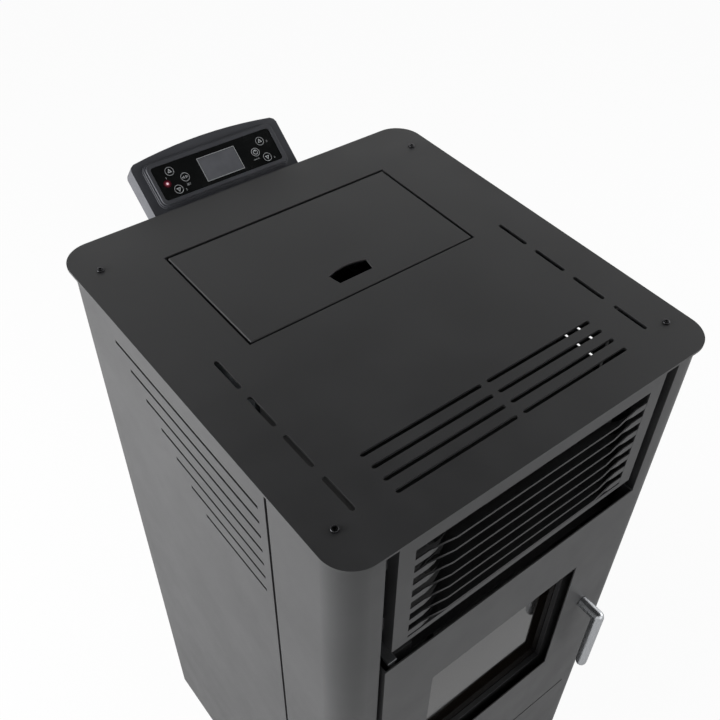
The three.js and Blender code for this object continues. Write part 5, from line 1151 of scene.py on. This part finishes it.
@dataclass
class Studio:
    """Pale floor, white surround, soft boxes and the camera at the photograph's viewing angle."""

    eye: Point = (-0.46765, -0.587625, 1.56444)
    azimuth: float = -42.4048
    elevation: float = 45.9104
    roll: float = 4.0897
    lens_px: float = 908.62
    centre_px: tuple[float, float] = (405.22, 385.91)
    frame_px: float = 720.0
    lamps: tuple[Lamp, ...] = (
        Lamp("softbox_left", (-2.3, 0.9, 1.15), (0.0, 0.0, 0.7), (2.0, 1.6), 94.0),
        Lamp("softbox_right", (2.4, -0.9, 1.2), (0.0, 0.0, 0.7), (2.0, 1.6), 30.0),
        Lamp("softbox_front", (0.5, -2.6, 1.1), (0.0, 0.0, 0.6), (2.0, 1.4), 8.0),
    )
    ceiling_height: float = 3.0
    ceiling_size: float = 4.2
    floor_size: float = 14.0
    fill: float = 0.34
    floor_white: float = 0.95
    floor_mirrored: float = 0.3

    def build(self) -> None:
        """Set the stage."""
        self.colour_management()
        self.surround()
        self.floor()
        self.ceiling()
        for lamp in self.lamps:
            self.soft_box(lamp)
        self.camera()

    def colour_management(self) -> None:
        """Plain display transform, so a colour renders as it is written."""
        bpy.context.scene.view_settings.view_transform = "Standard"

    def surround(self) -> None:
        """White to the eye and in reflections, a soft grey fill to everything else."""
        world = bpy.data.worlds.new("surround")
        bpy.context.scene.world = world
        world.use_nodes = True
        tree = world.node_tree
        tree.nodes.clear()
        path = tree.nodes.new("ShaderNodeLightPath")
        seen = tree.nodes.new("ShaderNodeMath")
        seen.operation = "MAXIMUM"
        tree.links.new(path.outputs["Is Camera Ray"], seen.inputs[0])
        mirrored = tree.nodes.new("ShaderNodeMath")
        mirrored.operation = "MAXIMUM"
        tree.links.new(path.outputs["Is Glossy Ray"], mirrored.inputs[0])
        tree.links.new(path.outputs["Is Transmission Ray"], mirrored.inputs[1])
        tree.links.new(mirrored.outputs[0], seen.inputs[1])
        fill = tree.nodes.new("ShaderNodeBackground")
        fill.inputs["Color"].default_value = linear("e8ebee")
        fill.inputs["Strength"].default_value = self.fill
        white = tree.nodes.new("ShaderNodeBackground")
        white.inputs["Color"].default_value = (1.0, 1.0, 1.0, 1.0)
        either = tree.nodes.new("ShaderNodeMixShader")
        out = tree.nodes.new("ShaderNodeOutputWorld")
        tree.links.new(seen.outputs[0], either.inputs[0])
        tree.links.new(fill.outputs[0], either.inputs[1])
        tree.links.new(white.outputs[0], either.inputs[2])
        tree.links.new(either.outputs[0], out.inputs["Surface"])

    def floor(self) -> None:
        """A pale floor that stays near white to the eye and keeps the stove's shadow."""
        deselect()
        bpy.ops.mesh.primitive_plane_add(size=self.floor_size, location=(0, 0, 0))
        ground = settle(bpy.context.object)
        ground.name = "studio_floor"
        n = Nodes("studio_floor_white")
        path = n.add("ShaderNodeLightPath")
        mirrored = n.add("ShaderNodeMath", {0: path.outputs["Is Glossy Ray"], 1: self.floor_mirrored},
                         operation="MULTIPLY")
        seen = n.add("ShaderNodeMath", {0: path.outputs["Is Camera Ray"], 1: mirrored.outputs[0]},
                     operation="MAXIMUM")
        share = n.add("ShaderNodeMath", {0: seen.outputs[0], 1: self.floor_white}, operation="MULTIPLY")
        matt = n.add("ShaderNodeBsdfDiffuse", {"Color": linear("f2f2f2")})
        white = n.add("ShaderNodeEmission", {"Color": (1.0, 1.0, 1.0, 1.0), "Strength": 1.0})
        both = n.add("ShaderNodeMixShader", {0: share.outputs[0], 1: matt.outputs[0], 2: white.outputs[0]})
        n.add("ShaderNodeOutputMaterial", {"Surface": both.outputs[0]})
        ground.data.materials.append(n.material)

    def ceiling(self) -> None:
        """A dark studio ceiling, so that level faces mirror it and stay darker than upright ones."""
        deselect()
        bpy.ops.mesh.primitive_plane_add(size=self.ceiling_size, location=(0, 0, self.ceiling_height))
        canopy = settle(bpy.context.object)
        canopy.name = "studio_ceiling"
        n = Nodes("studio_ceiling_black")
        path = n.add("ShaderNodeLightPath")
        black = n.add("ShaderNodeBsdfDiffuse", {"Color": linear("1c1c1c")})
        clear = n.add("ShaderNodeBsdfTransparent")
        both = n.add("ShaderNodeMixShader", {0: path.outputs["Is Camera Ray"], 1: black.outputs[0],
                                             2: clear.outputs[0]})
        n.add("ShaderNodeOutputMaterial", {"Surface": both.outputs[0]})
        canopy.data.materials.append(n.material)

    def soft_box(self, lamp: Lamp) -> None:
        """Stand one soft box and turn it to its target."""
        light = bpy.data.lights.new(lamp.name, "AREA")
        light.shape = "RECTANGLE"
        light.size, light.size_y = lamp.size
        light.energy = lamp.power
        obj = bpy.data.objects.new(lamp.name, light)
        bpy.context.scene.collection.objects.link(obj)
        obj.location = lamp.place
        aim = Vector(lamp.target) - Vector(lamp.place)
        obj.rotation_euler = aim.to_track_quat("-Z", "Y").to_euler()

    def camera(self) -> None:
        """The camera, from the photograph's vanishing lines."""
        a, e, r = (math.radians(v) for v in (self.azimuth, self.elevation, self.roll))
        back = Vector((math.sin(a) * math.cos(e), -math.cos(a) * math.cos(e), math.sin(e)))
        level = (-back).cross(Vector((0, 0, 1))).normalized()
        upright = level.cross(-back)
        right = level * math.cos(r) + upright * math.sin(r)
        up = upright * math.cos(r) - level * math.sin(r)
        camera = bpy.data.cameras.new("camera")
        camera.sensor_width = 36.0
        camera.sensor_fit = "HORIZONTAL"
        camera.lens = camera.sensor_width * self.lens_px / self.frame_px
        camera.shift_x = (self.frame_px / 2 - self.centre_px[0]) / self.frame_px
        camera.shift_y = (self.centre_px[1] - self.frame_px / 2) / self.frame_px
        obj = bpy.data.objects.new("camera", camera)
        bpy.context.scene.collection.objects.link(obj)
        turn = Matrix((right, up, back)).transposed()
        obj.matrix_world = Matrix.Translation(self.eye) @ turn.to_4x4()
        bpy.context.scene.camera = obj


GROUPS: tuple[type[Assembly], ...] = (
    Casing, HopperGroup, FeedGroup, FireGroup, DoorGroup, AshGroup, AirGroup, PowerGroup, KeypadGroup,
)


def main() -> None:
    """Build the stage and every sub-assembly in order, and report each piece."""
    logging.basicConfig(level=logging.INFO, format="%(name)s: %(message)s")
    Studio().build()
    looks = {look: finish.material() for look, finish in FINISHES.items()}
    for kind in GROUPS:
        group = kind(looks)
        group.build()
        for obj in group.made:
            log.info("%s: %s, %d faces", kind.__name__, obj.name, len(obj.data.polygons))


if __name__ == "__main__":
    main()
